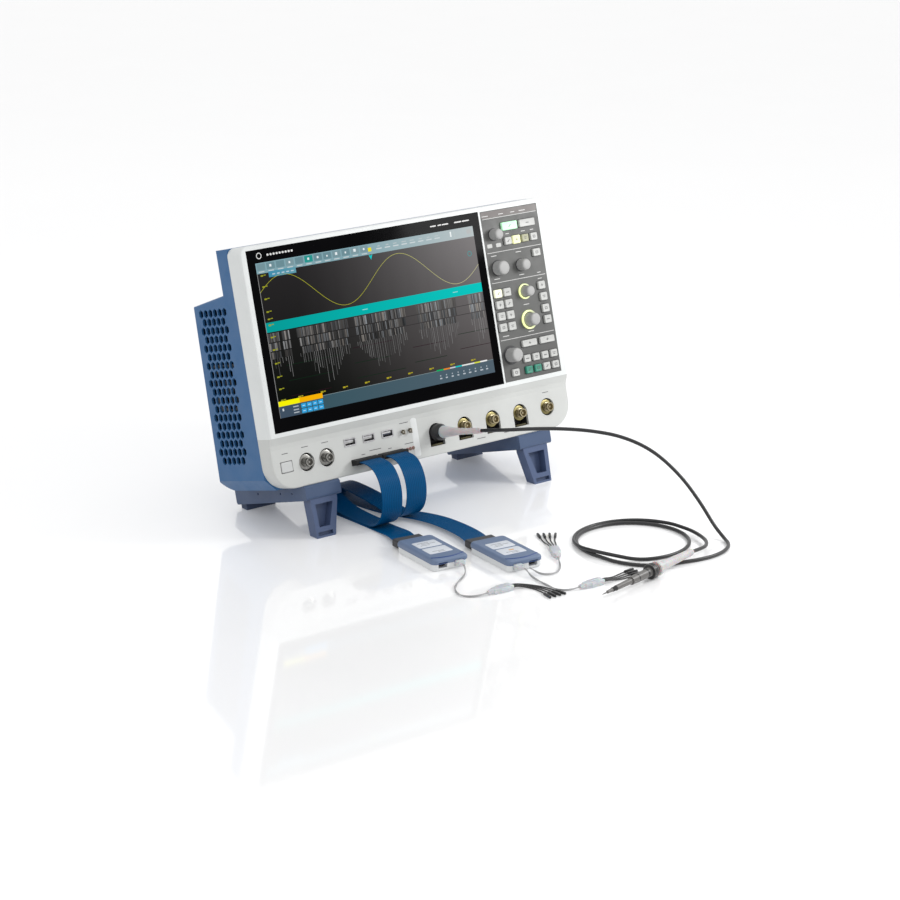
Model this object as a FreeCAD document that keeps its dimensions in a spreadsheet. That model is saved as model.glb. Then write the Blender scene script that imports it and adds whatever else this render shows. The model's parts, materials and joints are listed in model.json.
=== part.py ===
import FreeCAD, Part
import Sketcher
import math
import os
import re

# Mixed-signal bench analyzer on fold-out legs, with its two logic pods and a passive probe.
# The instrument is drawn upright in its own case frame: X to the right, Y from the front
# face to the rear, Z up from the underside of the case. One tilt then leans it back onto
# its legs. Cords and pods lie on the bench and are drawn in the bench frame directly.

doc = FreeCAD.newDocument("BenchAnalyzer")
sheet = doc.addObject("Spreadsheet::Sheet", "Sizes")

SIZES = {
    # case
    "case_wide": 414, "case_tall": 261, "bezel_deep": 24.8, "strip_tall": 57, "skin": 3,
    "corner_round": 9, "strip_round": 27, "strip_back": 5, "edge_round": 1.6,
    "lean": 14.36, "case_lift": 58.17, "case_setback": -84.0,
    # display and control panel
    "glass_left": -199.8, "glass_wide": 313.7, "glass_low": 61.7, "glass_tall": 194.3,
    "panel_left": 116.6, "panel_wide": 82.3, "panel_low": 62.3, "panel_tall": 192.9,
    "inlay_deep": 3, "inlay_gap": 0.2, "ledge_wide": 5,
    "key_rise": 3, "key_gap": 0.3, "key_root": 2.2, "key_round": 0.7, "key_travel": 1.2,
    "board_front": 4.5, "board_thick": 1.6,
    "shaft_r": 3, "shaft_gap": 0.3, "shaft_fit": 0.05, "shaft_end": 12, "knob_gap": 0.6,
    # connector strip
    "socket_z": 24.9, "channel_x": 13.3, "channel_pitch": 40.3, "channel_r": 10.2,
    "channel_low": 9.9, "trigger_x": 174.3, "round_r": 9.9, "cup_deep": 12, "cup_skin": 1,
    "generator_x": -162.6, "generator_pitch": 26.4, "bnc_r": 4.8, "bnc_bore": 3.6,
    "bnc_front": -1, "usb_x": -103.6, "usb_pitch": 25.4, "usb_z": 35.4,
    "usb_wide": 14.6, "usb_tall": 7.4, "logic_x": -88.5, "logic_pitch": 36, "logic_z": 12.6,
    "logic_wide": 34, "logic_tall": 6.4, "power_x": -188.9, "power_z": 24.3,
    "power_wide": 14.2, "power_tall": 11,
    # rear shell
    "cap_deep": 48, "notch_z": 213, "shoulder_z": 204.3, "side_deep": 112.6, "side_draft": 3,
    "heel_round": 11, "heel_cut": 13, "bulge_side": 165, "bulge_low": 12, "bulge_high": 186, "rear_deep": 138.74,
    "vent_front": 43, "vent_back": 107, "vent_low": 29, "vent_high": 201.6,
    "mount_pitch": 75, "mount_z": 122, "mount_hole": 4.5,
    "hole_pitch_y": 9.2, "hole_pitch_z": 9.44, "hole_flat": 7.6, "hole_tall": 9.6,
    "hole_lean": 0.038, "grille_thick": 2.4,
    # rails, legs and feet
    "rail_in": 125.5, "rail_out": 171.6, "rail_front": 3.5, "rail_low": -15.9,
    "rail_back": 141.4, "rail_heel": -20, "bay_front": 5.3, "bay_back": 72, "bay_roof": -1.6,
    "bay_side": 5.2, "leg_low": -60, "leg_front": 5.6, "leg_thick": 13, "leg_top": -2.5,
    "leg_top_in": 131, "leg_top_out": 166, "leg_foot_in": 140.6, "leg_foot_out": 164.5,
    "pivot_y": 12.1, "pivot_z": -9, "pin_r": 2.5, "pin_fit": 0.05,
    "handle_low": 213.2, "handle_y": 58, "handle_back": 100, "handle_thick": 8,
    # pods and cords
    "pod_wide": 44, "pod_long": 76, "pod_low_tall": 8.3, "pod_high_tall": 5.2, "pod_turn": 6.8,
    "ribbon_wide": 27, "ribbon_thick": 1.3, "cable_d": 4, "lead_d": 2.4, "wire_d": 1.4,
    "coil_x": 92, "coil_y": -312, "coil_out": 70, "coil_in": 56, "coil_tall": 9,
    "boot_long": 76,
}

for row, (alias, number) in enumerate(SIZES.items(), start=1):
    sheet.set(f"A{row}", alias)
    sheet.set(f"B{row}", str(number))
    sheet.setAlias(f"B{row}", alias)
doc.recompute()

Vector = FreeCAD.Vector
ACROSS = Vector(1, 0, 0)
INWARD = Vector(0, 1, 0)
UPWARD = Vector(0, 0, 1)


def bound(text):
    """Point each alias in an expression at its cell of the sheet."""
    return re.sub(r"[a-z]\w*", lambda hit: "Sizes." + hit[0] if hit[0] in SIZES else hit[0], str(text))


def number(text):
    """The value of an expression over the sheet's aliases, in millimetres or degrees."""
    return float(sheet.evalExpression(bound(text)))


def bind(item, **expressions):
    for prop, text in expressions.items():
        item.setExpression(prop, bound(text))


def move(item, spot):
    """Bind an item's position to three expressions."""
    for letter, text in zip("xyz", spot):
        item.setExpression("Placement.Base." + letter, bound(text))


# ---------------------------------------------------------------- solids from primitives

def box(name, corner, extent):
    """A box from its lowest corner and its three sides."""
    solid = doc.addObject("Part::Box", name)
    bind(solid, Length=extent[0], Width=extent[1], Height=extent[2])
    move(solid, corner)
    return solid


def turned(kind, name, centre, direction):
    """A round primitive whose own axis is laid along a direction."""
    solid = doc.addObject(kind, name)
    solid.Placement = FreeCAD.Placement(Vector(), FreeCAD.Rotation(UPWARD, direction))
    move(solid, centre)
    return solid


def bar(name, centre, radius, length, direction=INWARD):
    """A round bar that starts at its centre point and runs along its direction."""
    solid = turned("Part::Cylinder", name, centre, direction)
    bind(solid, Radius=radius, Height=length)
    return solid


def taper(name, centre, start_radius, end_radius, length, direction=INWARD):
    solid = turned("Part::Cone", name, centre, direction)
    bind(solid, Radius1=start_radius, Radius2=end_radius, Height=length)
    return solid


def group(name, items):
    """Several separate solids in one sub-part."""
    bundle = doc.addObject("Part::Compound", name)
    bundle.Links = items
    return bundle


def fuse(name, items):
    joined = doc.addObject("Part::MultiFuse", name)
    joined.Shapes = items
    joined.Refine = True
    return joined


def cut(name, base, tools):
    remainder = doc.addObject("Part::Cut", name)
    remainder.Base = base
    remainder.Tool = tools[0] if len(tools) == 1 else group(name + "_tools", tools)
    return remainder


def edges_that(shape, test):
    """The numbers, from 1, of a shape's edges that pass a test of their bounding box."""
    return [i for i, edge in enumerate(shape.Edges, start=1) if test(edge.BoundBox)]


def ease(name, base, radius, test=lambda span: True):
    """Round the edges of a finished solid that pass a test."""
    doc.recompute()
    rounded = doc.addObject("Part::Fillet", name)
    rounded.Base = base
    size = number(radius)
    rounded.Edges = [(i, size, size) for i in edges_that(base.Shape, test)]
    return rounded


# ---------------------------------------------------------------- solids from sketches

def body(name):
    return doc.addObject("PartDesign::Body", name)


def sketch_on(owner, role, offset):
    sketch = owner.newObject("Sketcher::SketchObject", owner.Name + "_outline")
    plane = [face for face in owner.Origin.OriginFeatures if face.Role == role][0]
    sketch.AttachmentSupport = (plane, [""])
    sketch.MapMode = "FlatFace"
    sketch.setExpression("AttachmentOffset.Base.z", bound(offset))
    return sketch


def hold(sketch, kind, where, text):
    """Constrain one coordinate or radius of a sketch to an expression."""
    index = sketch.addConstraint(Sketcher.Constraint(kind, *where, number(text)))
    sketch.setExpression(f"Constraints[{index}]", bound(text))


def polygon(owner, role, loops, offset="0"):
    """A sketch of closed straight-sided loops, each corner a pair of expressions."""
    sketch = sketch_on(owner, role, offset)
    for corners in loops:
        start = sketch.GeometryCount
        points = [Vector(number(x), number(y), 0) for x, y in corners]
        for here, there in zip(points, points[1:] + points[:1]):
            sketch.addGeometry(Part.LineSegment(here, there), False)
        for i, (x, y) in enumerate(corners):
            after = start + (i + 1) % len(corners)
            sketch.addConstraint(Sketcher.Constraint("Coincident", start + i, 2, after, 1))
            hold(sketch, "DistanceX", (start + i, 1), x)
            hold(sketch, "DistanceY", (start + i, 1), y)
    return sketch


def discs(owner, role, centres, offset="0"):
    """A sketch of circles, each an x, a y and a radius."""
    sketch = sketch_on(owner, role, offset)
    for i, (x, y, radius) in enumerate(centres):
        middle = Vector(number(x), number(y), 0)
        sketch.addGeometry(Part.Circle(middle, UPWARD, number(radius)), False)
        hold(sketch, "Radius", (i,), radius)
        hold(sketch, "DistanceX", (i, 3), x)
        hold(sketch, "DistanceY", (i, 3), y)
    return sketch


def rectangle(low_x, low_y, high_x, high_y):
    return [(low_x, low_y), (high_x, low_y), (high_x, high_y), (low_x, high_y)]


def pad(owner, sketch, length, backwards=False, both_ways=False):
    feature = owner.newObject("PartDesign::Pad", owner.Name + "_pad")
    feature.Profile = sketch
    feature.Reversed = backwards
    feature.Midplane = both_ways
    bind(feature, Length=length)
    return feature


def pocket(owner, sketch, length, backwards=False, both_ways=False):
    """A cut that must take material away."""
    doc.recompute()
    before = owner.Shape.Volume
    feature = owner.newObject("PartDesign::Pocket", owner.Name + "_pocket")
    feature.Profile = sketch
    feature.Reversed = backwards
    feature.Midplane = both_ways
    bind(feature, Length=length)
    doc.recompute()
    if owner.Shape.Volume > before - 1:
        raise RuntimeError(f"a pocket in {owner.Name} cuts nothing")
    return feature


def round_off(owner, radius, test):
    """Fillet the edges of a body's newest feature that pass a test."""
    doc.recompute()
    newest = owner.Tip
    edges = [f"Edge{i}" for i in edges_that(newest.Shape, test)]
    feature = owner.newObject("PartDesign::Fillet", owner.Name + "_fillet")
    feature.Base = (newest, edges)
    bind(feature, Radius=radius)
    doc.recompute()
    if "Invalid" in feature.State:
        raise RuntimeError(f"a fillet in {owner.Name} failed")
    return feature


def flat(span, axis):
    return getattr(span, axis + "Length") < 1e-4


def runs_along(span, axis):
    others = [letter for letter in "XYZ" if letter != axis]
    return all(flat(span, letter) for letter in others)


# ---------------------------------------------------------------- front of the case

def front_frame():
    """The pale bezel: a deep frame with shallow inlays for the glass and the panel."""
    frame = body("front_frame")
    half = "case_wide / 2"
    outline = rectangle(f"-{half}", "strip_tall", half, "case_tall")
    pad(frame, polygon(frame, "XZ_Plane", [outline]), "bezel_deep", backwards=True)
    top = number("case_tall") - 0.1
    round_off(frame, "corner_round", lambda s: runs_along(s, "Y") and s.ZMin > top)
    round_off(frame, "edge_round", lambda s: flat(s, "Y") and s.YMax < 0.1 and s.ZMax > 60)
    g, e = "inlay_gap", "ledge_wide"
    glass_right, glass_top = "glass_left + glass_wide", "glass_low + glass_tall"
    panel_right, panel_top = "panel_left + panel_wide", "panel_low + panel_tall"
    inlays = [
        rectangle(f"glass_left - {g}", f"glass_low - {g}", f"{glass_right} + {g}", f"{glass_top} + {g}"),
        rectangle(f"panel_left - {g}", f"panel_low - {g}", f"{panel_right} + {g}", f"{panel_top} + {g}"),
    ]
    windows = [
        rectangle(f"glass_left + {e}", f"glass_low + {e}", f"{glass_right} - {e}", f"{glass_top} - {e}"),
        rectangle(f"panel_left + {g}", f"panel_low + {g}", f"{panel_right} - {g}", f"{panel_top} - {g}"),
    ]
    pocket(frame, polygon(frame, "XZ_Plane", inlays), "inlay_deep")
    pocket(frame, polygon(frame, "XZ_Plane", windows), "bezel_deep + 1")
    return frame


def channel_spots():
    return [f"channel_x + {i} * channel_pitch" for i in range(4)]


def generator_spots():
    return ["generator_x", "generator_x + generator_pitch"]


def usb_spots():
    return [f"usb_x + {i} * usb_pitch" for i in range(3)]


def logic_spots():
    return ["logic_x", "logic_x + logic_pitch"]


def upright(x, z, wide, tall):
    """A rectangle about a centre."""
    return rectangle(f"{x} - ({wide}) / 2", f"{z} - ({tall}) / 2", f"{x} + ({wide}) / 2", f"{z} + ({tall}) / 2")


def connector_strip():
    """The strip under the bezel: set back under a soft lip, hollow behind, with socket windows."""
    strip = body("connector_strip")
    side = [("bezel_deep", "0"), ("bezel_deep", "strip_tall"), ("0.8", "strip_tall"),
            ("2", "strip_tall - 3"), ("strip_back - 0.6", "strip_tall - 8"),
            ("strip_back", "strip_tall - 13"), ("strip_back", "0")]
    pad(strip, polygon(strip, "YZ_Plane", [side]), "case_wide", both_ways=True)
    round_off(strip, "strip_round", lambda s: runs_along(s, "Y") and s.ZMax < 0.1)
    front = number("strip_back") + 0.1
    round_off(strip, "edge_round", lambda s: s.YMax < front and s.ZMax < 50 and not runs_along(s, "X")
              or s.YMax < front and s.ZMax < 0.1)
    inner, slope = "case_wide / 2 - skin", "strip_round"
    hollow = [(f"-({inner})", slope), (f"-case_wide / 2 + {slope}", "skin"),
              (f"case_wide / 2 - {slope}", "skin"), (inner, slope),
              (inner, "strip_tall - skin"), (f"-({inner})", "strip_tall - skin")]
    pocket(strip, polygon(strip, "XZ_Plane", [hollow], offset="-(strip_back + skin)"), "bezel_deep")
    round_windows = [(x, "socket_z", "channel_r") for x in channel_spots()]
    round_windows += [(x, "socket_z", "round_r") for x in generator_spots() + ["trigger_x"]]
    pocket(strip, discs(strip, "XZ_Plane", round_windows), "bezel_deep")
    low_windows = [rectangle(f"{x} - channel_r", "channel_low", f"{x} + channel_r", "socket_z")
                   for x in channel_spots()]
    pocket(strip, polygon(strip, "XZ_Plane", low_windows), "bezel_deep")
    windows = [upright(x, "usb_z", "usb_wide + 0.2", "usb_tall + 0.2") for x in usb_spots()]
    windows += [upright(x, "logic_z", "logic_wide + 0.2", "logic_tall + 0.2") for x in logic_spots()]
    windows += [upright("power_x", "power_z", "power_wide + 2 * key_gap", "power_tall + 2 * key_gap")]
    pocket(strip, polygon(strip, "XZ_Plane", windows), "bezel_deep")
    small = [(x, z, "1.3") for x, z in LUGS + CLOCK_PINS]
    pocket(strip, discs(strip, "XZ_Plane", small), "bezel_deep")
    return strip


LUGS = [("-33.3", "33.5"), ("-23.7", "33.5")]
CLOCK_PINS = [("-29.3", "13.4"), ("-25.2", "13.6"), ("-21.1", "13.8")]


def display():
    """The cover glass and the display module behind it."""
    pane = box("glass_pane", ("glass_left", "0", "glass_low"), ("glass_wide", "inlay_deep", "glass_tall"))
    ease("display_glass", pane, "0.6", lambda s: flat(s, "Y") and s.YMax < 0.1)
    e = "(ledge_wide + 1)"
    module = box("module_block", (f"glass_left + {e}", "inlay_deep", f"glass_low + {e}"),
                 (f"glass_wide - 2 * {e}", "9", f"glass_tall - 2 * {e}"))
    ease("lcd_module", module, "1.5", lambda s: runs_along(s, "Y"))


# ---------------------------------------------------------------- control panel

# name: (x, z, widest radius, front radius, rise); the rings sit round two of them
KNOBS = {
    "trigger_knob": (131.0, 228.2, 6.4, 5.8, 12.2),
    "time_scale_knob": (130.6, 190.3, 8.4, 7.7, 12.2),
    "time_position_knob": (163.7, 189.4, 6.8, 6.2, 11.4),
    "level_position_knob": (163.2, 159.2, 6.8, 5.8, 12.5),
    "level_scale_knob": (163.6, 127.0, 8.4, 7.1, 13),
    "menu_knob": (129.6, 91.6, 10.0, 8.0, 13.8),
}
RINGS = {"level_position_knob": 8.6, "level_scale_knob": 10.8}

# name: [(x, z, wide, tall), ...] for the keys that share a sub-part
KEYS = {
    "run_stop_key": [(154.1, 235.2, 22, 9.2)],
    "single_key": [(179.8, 235.4, 22.4, 8.4)],
    "trigger_keys": [(149.2, 218.6, 9.6, 8.4), (161.4, 218.6, 10.6, 9.4),
                     (174.0, 218.6, 9.6, 8.4), (186.8, 218.6, 9.6, 8.4)],
    "zoom_key": [(187.4, 200.4, 10.6, 8.4)],
    "channel_keys": [(x, z, 10.4, 9.2) for z in (162.2, 149.4, 136.4, 123.6) for x in (123.6, 136.6)],
    "menu_keys": [(x, z, 9.8, 9) for x, z in ((187.4, 162.8), (188.1, 149.8), (188.5, 136.3),
                                              (189.2, 123.6))],
    "function_keys": [(157.4, 101.2, 21, 7.6), (183.4, 101.2, 21, 7.6)]
                     + [(x, 84.3, 9.6, 8.2) for x in (150.8, 163.9, 177.0, 190.1)]
                     + [(x, 71.4, 9.6, 8.2) for x in (131.8, 151.4, 164.4, 177.3, 190.3)],
}


def all_keys():
    return [key for keys in KEYS.values() for key in keys]


def openings_for_controls(name, front, depth, with_keys):
    """Windows for the keys and holes for the knob shafts through a plate."""
    tools = []
    for i, (x, z, _, _, _) in enumerate(KNOBS.values()):
        tools.append(bar(f"{name}_shaft{i}", (x, front, z), "shaft_r + shaft_gap", depth))
    for i, (x, z, wide, tall) in enumerate(all_keys() if with_keys else []):
        tools.append(box(f"{name}_window{i}", (f"{x - wide / 2} - key_gap", front, f"{z - tall / 2} - key_gap"),
                         (f"{wide} + 2 * key_gap", depth, f"{tall} + 2 * key_gap")))
    return tools


def control_panel():
    """The dark panel: a plate with a window for each key and a hole for each shaft."""
    plate = box("panel_plate", ("panel_left", "0", "panel_low"),
                ("panel_wide", "inlay_deep", "panel_tall"))
    return cut("control_panel", plate, openings_for_controls("panel", "-1", "inlay_deep + 2", True))


def keypad_board():
    """The board that the keys press on, clear of the knob shafts."""
    board = box("keypad_plate", ("panel_left + 1", "board_front", "panel_low + 1"),
                ("panel_wide - 2", "board_thick", "panel_tall - 2"))
    return cut("keypad_board", board, openings_for_controls("keypad", "board_front - 1", "board_thick + 2", False))


def encoder_bodies():
    """One rotary encoder behind the board for each knob, bored for its shaft."""
    blocks, bores = [], []
    for i, (x, z, _, _, _) in enumerate(KNOBS.values()):
        blocks.append(box(f"encoder_block{i}", (x - 6, "board_front + board_thick", z - 6), ("12", "8", "12")))
        bores.append(bar(f"encoder_bore{i}", (x, "board_front", z), "shaft_r + shaft_fit",
                         "shaft_end + 0.5 - board_front"))
    return cut("encoder_bodies", group("encoder_blocks", blocks), bores)


def knob(name):
    """A turned knob, tapered to its front and rounded there, with the shaft it drives."""
    x, z, foot, face, rise = KNOBS[name]
    cap = taper(name + "_cap", (x, "-knob_gap", z), foot, face, f"{rise} - knob_gap", -INWARD)
    front = -rise + 0.1
    soft = ease(name + "_soft", cap, "1.5", lambda s: flat(s, "Y") and s.YMax < front)
    shaft = bar(name + "_shaft", (x, "-knob_gap - 1", z), "shaft_r", "shaft_end + knob_gap + 1")
    return fuse(name, [soft, shaft])


def light_rings():
    """Lit rings on the panel round the two level knobs."""
    rings = []
    for name, radius in RINGS.items():
        x, z, foot, _, _ = KNOBS[name]
        outer = bar(name + "_ring", (x, "-1.6", z), radius, "1.6")
        inner = bar(name + "_ring_bore", (x, "-2", z), f"{foot} + 0.4", "3")
        rings.append(cut(name + "_band", outer, [inner]))
    return group("light_rings", rings)


def keys(name):
    """Moulded key caps standing through the panel."""
    caps = []
    for i, (x, z, wide, tall) in enumerate(KEYS[name]):
        block = box(f"{name}_block{i}", (x - wide / 2, "-key_rise", z - tall / 2),
                    (wide, "key_rise + key_root", tall))
        caps.append(ease(f"{name}_cap{i}", block, "key_round"))
    return group(name, caps)


def power_key():
    block = box("power_block", ("power_x - power_wide / 2", "strip_back - 0.8", "power_z - power_tall / 2"),
                ("power_wide", "6", "power_tall"))
    return ease("power_key", block, "key_round")


# ---------------------------------------------------------------- sockets in the strip

def bnc(name, x, z, reach="16"):
    """A bayonet socket: barrel with two lugs, open at the front, on a square flange."""
    barrel = bar(name + "_barrel", (x, "bnc_front", z), "bnc_r", reach)
    bore = bar(name + "_bore", (x, "bnc_front - 1", z), "bnc_bore", "10")
    lugs = bar(name + "_lugs", (f"{x} - bnc_r - 0.9", "bnc_front + 3", z), "0.9", "2 * bnc_r + 1.8", ACROSS)
    shell = cut(name + "_shell", fuse(name + "_outer", [barrel, lugs]), [bore])
    pin = bar(name + "_pin", (x, "bnc_front + 1.5", z), "1.1", "9")
    return fuse(name, [shell, pin])


def cup_for(name, x, low, radius):
    """A dark well behind a window: a thin cup with a floor that the socket passes through."""
    front, depth = "strip_back + skin", "cup_deep"
    outer = [bar(name + "_outer", (x, front, "socket_z"), f"{radius} + cup_skin", depth)]
    inner = [bar(name + "_inner", (x, f"{front} - 1", "socket_z"), radius, depth)]
    if low:
        tall = "socket_z - channel_low"
        outer.append(box(name + "_outer_low", (f"{x} - {radius} - cup_skin", front, "channel_low - cup_skin"),
                         (f"2 * {radius} + 2 * cup_skin", depth, f"{tall} + cup_skin")))
        inner.append(box(name + "_inner_low", (f"{x} - {radius}", f"{front} - 1", "channel_low"),
                         (f"2 * {radius}", depth, tall)))
    passage = bar(name + "_passage", (x, front, "socket_z"), "bnc_r + 0.05", "cup_deep + 1")
    hollow = inner if not low else [fuse(name + "_hollow", inner)]
    shell = outer[0] if not low else fuse(name + "_shell", outer)
    return cut(name, shell, [fuse(name + "_space", hollow + [passage])])


def socket_cups():
    cups = [cup_for(f"channel_cup{i}", x, True, "channel_r") for i, x in enumerate(channel_spots())]
    rest = generator_spots() + ["trigger_x"]
    cups += [cup_for(f"round_cup{i}", x, False, "round_r") for i, x in enumerate(rest)]
    return group("socket_cups", cups)


def probe_contacts():
    """A sprung contact bar along the floor of each channel well, for the probe's coding."""
    bars = [ease(f"contact{i}", box(f"contact_block{i}", (f"{x} - 7.5", "strip_back + 1.2", "channel_low"),
                                    ("15", "9", "2.4")), "0.6") for i, x in enumerate(channel_spots())]
    return group("probe_contacts", bars)


def usb_sockets():
    """Three shielded sockets, each a thin box with a tongue."""
    sockets = []
    for i, x in enumerate(usb_spots()):
        left, low = f"{x} - usb_wide / 2", "usb_z - usb_tall / 2"
        shell = box(f"usb_shell{i}", (left, "strip_back - 0.5", low), ("usb_wide", "15", "usb_tall"))
        space = box(f"usb_space{i}", (f"{left} + 0.7", "strip_back - 1", f"{low} + 0.7"),
                    ("usb_wide - 1.4", "13", "usb_tall - 1.4"))
        tongue = box(f"usb_tongue{i}", (f"{left} + 1.6", "strip_back + 1", "usb_z + 0.4"),
                     ("usb_wide - 3.2", "13", "1.8"))
        sockets.append(fuse(f"usb{i}", [cut(f"usb_box{i}", shell, [space]), tongue]))
    return group("usb_sockets", sockets)


def logic_sockets():
    """Two card-edge sockets that take the ribbon plugs."""
    sockets = []
    for i, x in enumerate(logic_spots()):
        left, low = f"{x} - logic_wide / 2", "logic_z - logic_tall / 2"
        shell = box(f"logic_shell{i}", (left, "strip_back - 0.4", low), ("logic_wide", "14", "logic_tall"))
        slot = box(f"logic_slot{i}", (f"{left} + 1.4", "strip_back - 1", f"{low} + 1.1"),
                   ("logic_wide - 2.8", "9", "logic_tall - 2.2"))
        sockets.append(cut(f"logic{i}", shell, [slot]))
    return group("logic_sockets", sockets)


def demo_lugs():
    """Two probe-adjust loops and three clock pins, each on its own stem."""
    items = []
    for i, (x, z) in enumerate(LUGS):
        stem = bar(f"lug_stem{i}", (x, "strip_back - 2", z), "1.2", "8")
        plate = box(f"lug_plate{i}", (f"{x} - 0.5", "strip_back - 6", f"{z} - 2.6"), ("1", "5", "5.2"))
        eye = bar(f"lug_eye{i}", (f"{x} - 1", "strip_back - 3.6", z), "1.3", "2", ACROSS)
        items.append(fuse(f"lug{i}", [stem, cut(f"lug_loop{i}", plate, [eye])]))
    for i, (x, z) in enumerate(CLOCK_PINS):
        items.append(bar(f"clock_pin{i}", (x, "strip_back - 1.2", z), "1.2", "8"))
    return group("demo_lugs", items)


# ---------------------------------------------------------------- rear of the case

def rear_shell():
    """The blue rear shell: slim at the top edge, deeper below a shoulder, deepest mid-back."""
    shell = body("rear_shell")
    side = [("bezel_deep", "0"), ("side_deep + side_draft", "0"), ("side_deep - side_draft", "shoulder_z"),
            ("cap_deep", "notch_z"), ("cap_deep", "case_tall"), ("bezel_deep", "case_tall")]
    pad(shell, polygon(shell, "YZ_Plane", [side]), "case_wide - 1", both_ways=True)
    rear_edge = number("side_deep") - 0.1
    round_off(shell, "heel_round", lambda s: runs_along(s, "X") and s.YMin > rear_edge and s.ZMax < 1)
    flank = number("case_wide") / 2 - 1
    round_off(shell, "3", lambda s: s.XLength < 0.01 and abs(s.XMin) > flank and s.YMax > 30
              and not (s.YMin > 20 and s.YMax < 30) and s.YLength + s.ZLength > 9 and s.ZMax > 0.5
              and not runs_along(s, "Y"))
    half, c = "(case_wide / 2 - 0.5)", "heel_cut"
    corners = [[(f"{sign} * ({half} + 1)", "-1"), (f"{sign} * ({half} + 1)", f"{c} + 1"),
                (f"{sign} * ({half} - {c} - 1)", "-1")] for sign in (-1, 1)]
    pocket(shell, polygon(shell, "XZ_Plane", corners, offset="-bezel_deep + 1"), "rear_deep")
    hump = rectangle("-bulge_side", "bulge_low", "bulge_side", "bulge_high")
    crown = rectangle("-bulge_side + 18", "bulge_low + 6", "bulge_side - 18", "bulge_high - 16")
    lower = polygon(shell, "XZ_Plane", [hump], offset="-side_deep + 4")
    upper = polygon(shell, "XZ_Plane", [crown], offset="-rear_deep")
    loft = shell.newObject("PartDesign::AdditiveLoft", "rear_shell_bulge")
    loft.Profile = lower
    loft.Sections = [upper]
    loft.Ruled = True
    doc.recompute()
    w, step = "skin", "(heel_cut + 2)"
    inside = [("bezel_deep - 1", step), (f"side_deep + side_draft - {w}", step),
              (f"side_deep - side_draft - {w}", f"shoulder_z - {w}"),
              (f"cap_deep - {w}", f"notch_z - {w}"), (f"cap_deep - {w}", f"case_tall - {w}"),
              ("bezel_deep - 1", f"case_tall - {w}")]
    pocket(shell, polygon(shell, "YZ_Plane", [inside]), "case_wide - 1 - 2 * skin", both_ways=True)
    footwell = [("bezel_deep - 1", w), (f"side_deep - {w}", w), (f"side_deep - {w}", f"{step} + 1"),
                ("bezel_deep - 1", f"{step} + 1")]
    pocket(shell, polygon(shell, "YZ_Plane", [footwell]), f"case_wide - 1 - 2 * {step}", both_ways=True)
    well = [rectangle("-bulge_side + 22", "bulge_low + 10", "bulge_side - 22", "bulge_high - 20")]
    pocket(shell, polygon(shell, "XZ_Plane", well, offset="-side_deep + 10"), "rear_deep - side_deep + 7")
    vent = [rectangle("vent_front", "vent_low", "vent_back", "vent_high")]
    pocket(shell, polygon(shell, "YZ_Plane", vent), "case_wide + 2", both_ways=True)
    port = [rectangle("-118", "bulge_low + 14", "118", "bulge_low + 62")]
    pocket(shell, polygon(shell, "XZ_Plane", port, offset="-rear_deep + 6"), "8")
    mount = [(x, z, "mount_hole / 2") for x in ("-mount_pitch / 2", "mount_pitch / 2")
             for z in ("mount_z - mount_pitch / 2", "mount_z + mount_pitch / 2")]
    pocket(shell, discs(shell, "XZ_Plane", mount, offset="-rear_deep + 6"), "8")
    return shell


def hexagon(y, z, flat_wide, tall):
    """A six-sided hole with its points up and down."""
    half, shoulder = flat_wide / 2, tall / 4
    return [(y, z + tall / 2), (y - half, z + shoulder), (y - half, z - shoulder),
            (y, z - tall / 2), (y + half, z - shoulder), (y + half, z + shoulder)]


def vent_grilles():
    """A plate of staggered six-sided holes in each flank of the shell."""
    front, back = number("vent_front"), number("vent_back")
    low, high = number("vent_low"), number("vent_high")
    pitch_y, pitch_z = number("hole_pitch_y"), number("hole_pitch_z")
    wide, tall = number("hole_flat"), number("hole_tall")
    rows = 18
    middle_y, middle_z = (front + back) / 2, (low + high) / 2
    holes = []
    for row in range(rows):
        count = 5 if row % 2 == 0 else 6
        z = middle_z + (row - (rows - 1) / 2) * pitch_z
        y = middle_y + (middle_z - z) * number("hole_lean")
        holes += [(y + (i - (count - 1) / 2) * pitch_y, z) for i in range(count)]
    plates = []
    for x in (-number("case_wide / 2 - 0.5"), number("case_wide / 2 - 0.5 - grille_thick")):
        loops = [[(front, low), (back, low), (back, high), (front, high)]]
        loops += [hexagon(y, z, wide, tall) for y, z in holes]
        wires = [Part.makePolygon([Vector(x, y, z) for y, z in loop + loop[:1]]) for loop in loops]
        face = Part.makeFace(wires, "Part::FaceMakerBullseye")
        plates.append(face.extrude(Vector(number("grille_thick"), 0, 0)))
    grilles = doc.addObject("Part::Feature", "vent_grilles")
    grilles.Shape = Part.Compound(plates)
    return grilles


def rear_panel():
    """The metal panel across the rear ports, with openings for the inlet and the sockets."""
    plate = box("rear_plate", ("-117.8", "rear_deep - 6", "bulge_low + 14.2"), ("235.6", "1.5", "47.6"))
    tools = [box("inlet_opening", ("-104", "rear_deep - 7", "bulge_low + 26"), ("28", "4", "22"))]
    tools += [box(f"port_opening{i}", (x, "rear_deep - 7", "bulge_low + 30"), (wide, "4", tall))
              for i, (x, wide, tall) in enumerate(REAR_PORTS)]
    tools += [bar(f"rear_bnc_opening{i}", (x, "rear_deep - 7", "bulge_low + 38"), "5.2", "4")
              for i, x in enumerate(REAR_BNC)]
    return cut("rear_panel", plate, tools)


REAR_PORTS = [(-62, 17, 15), (-38, 16, 15), (-15, 16, 7), (8, 13.6, 6)]
REAR_BNC = [50, 76, 100]


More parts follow.
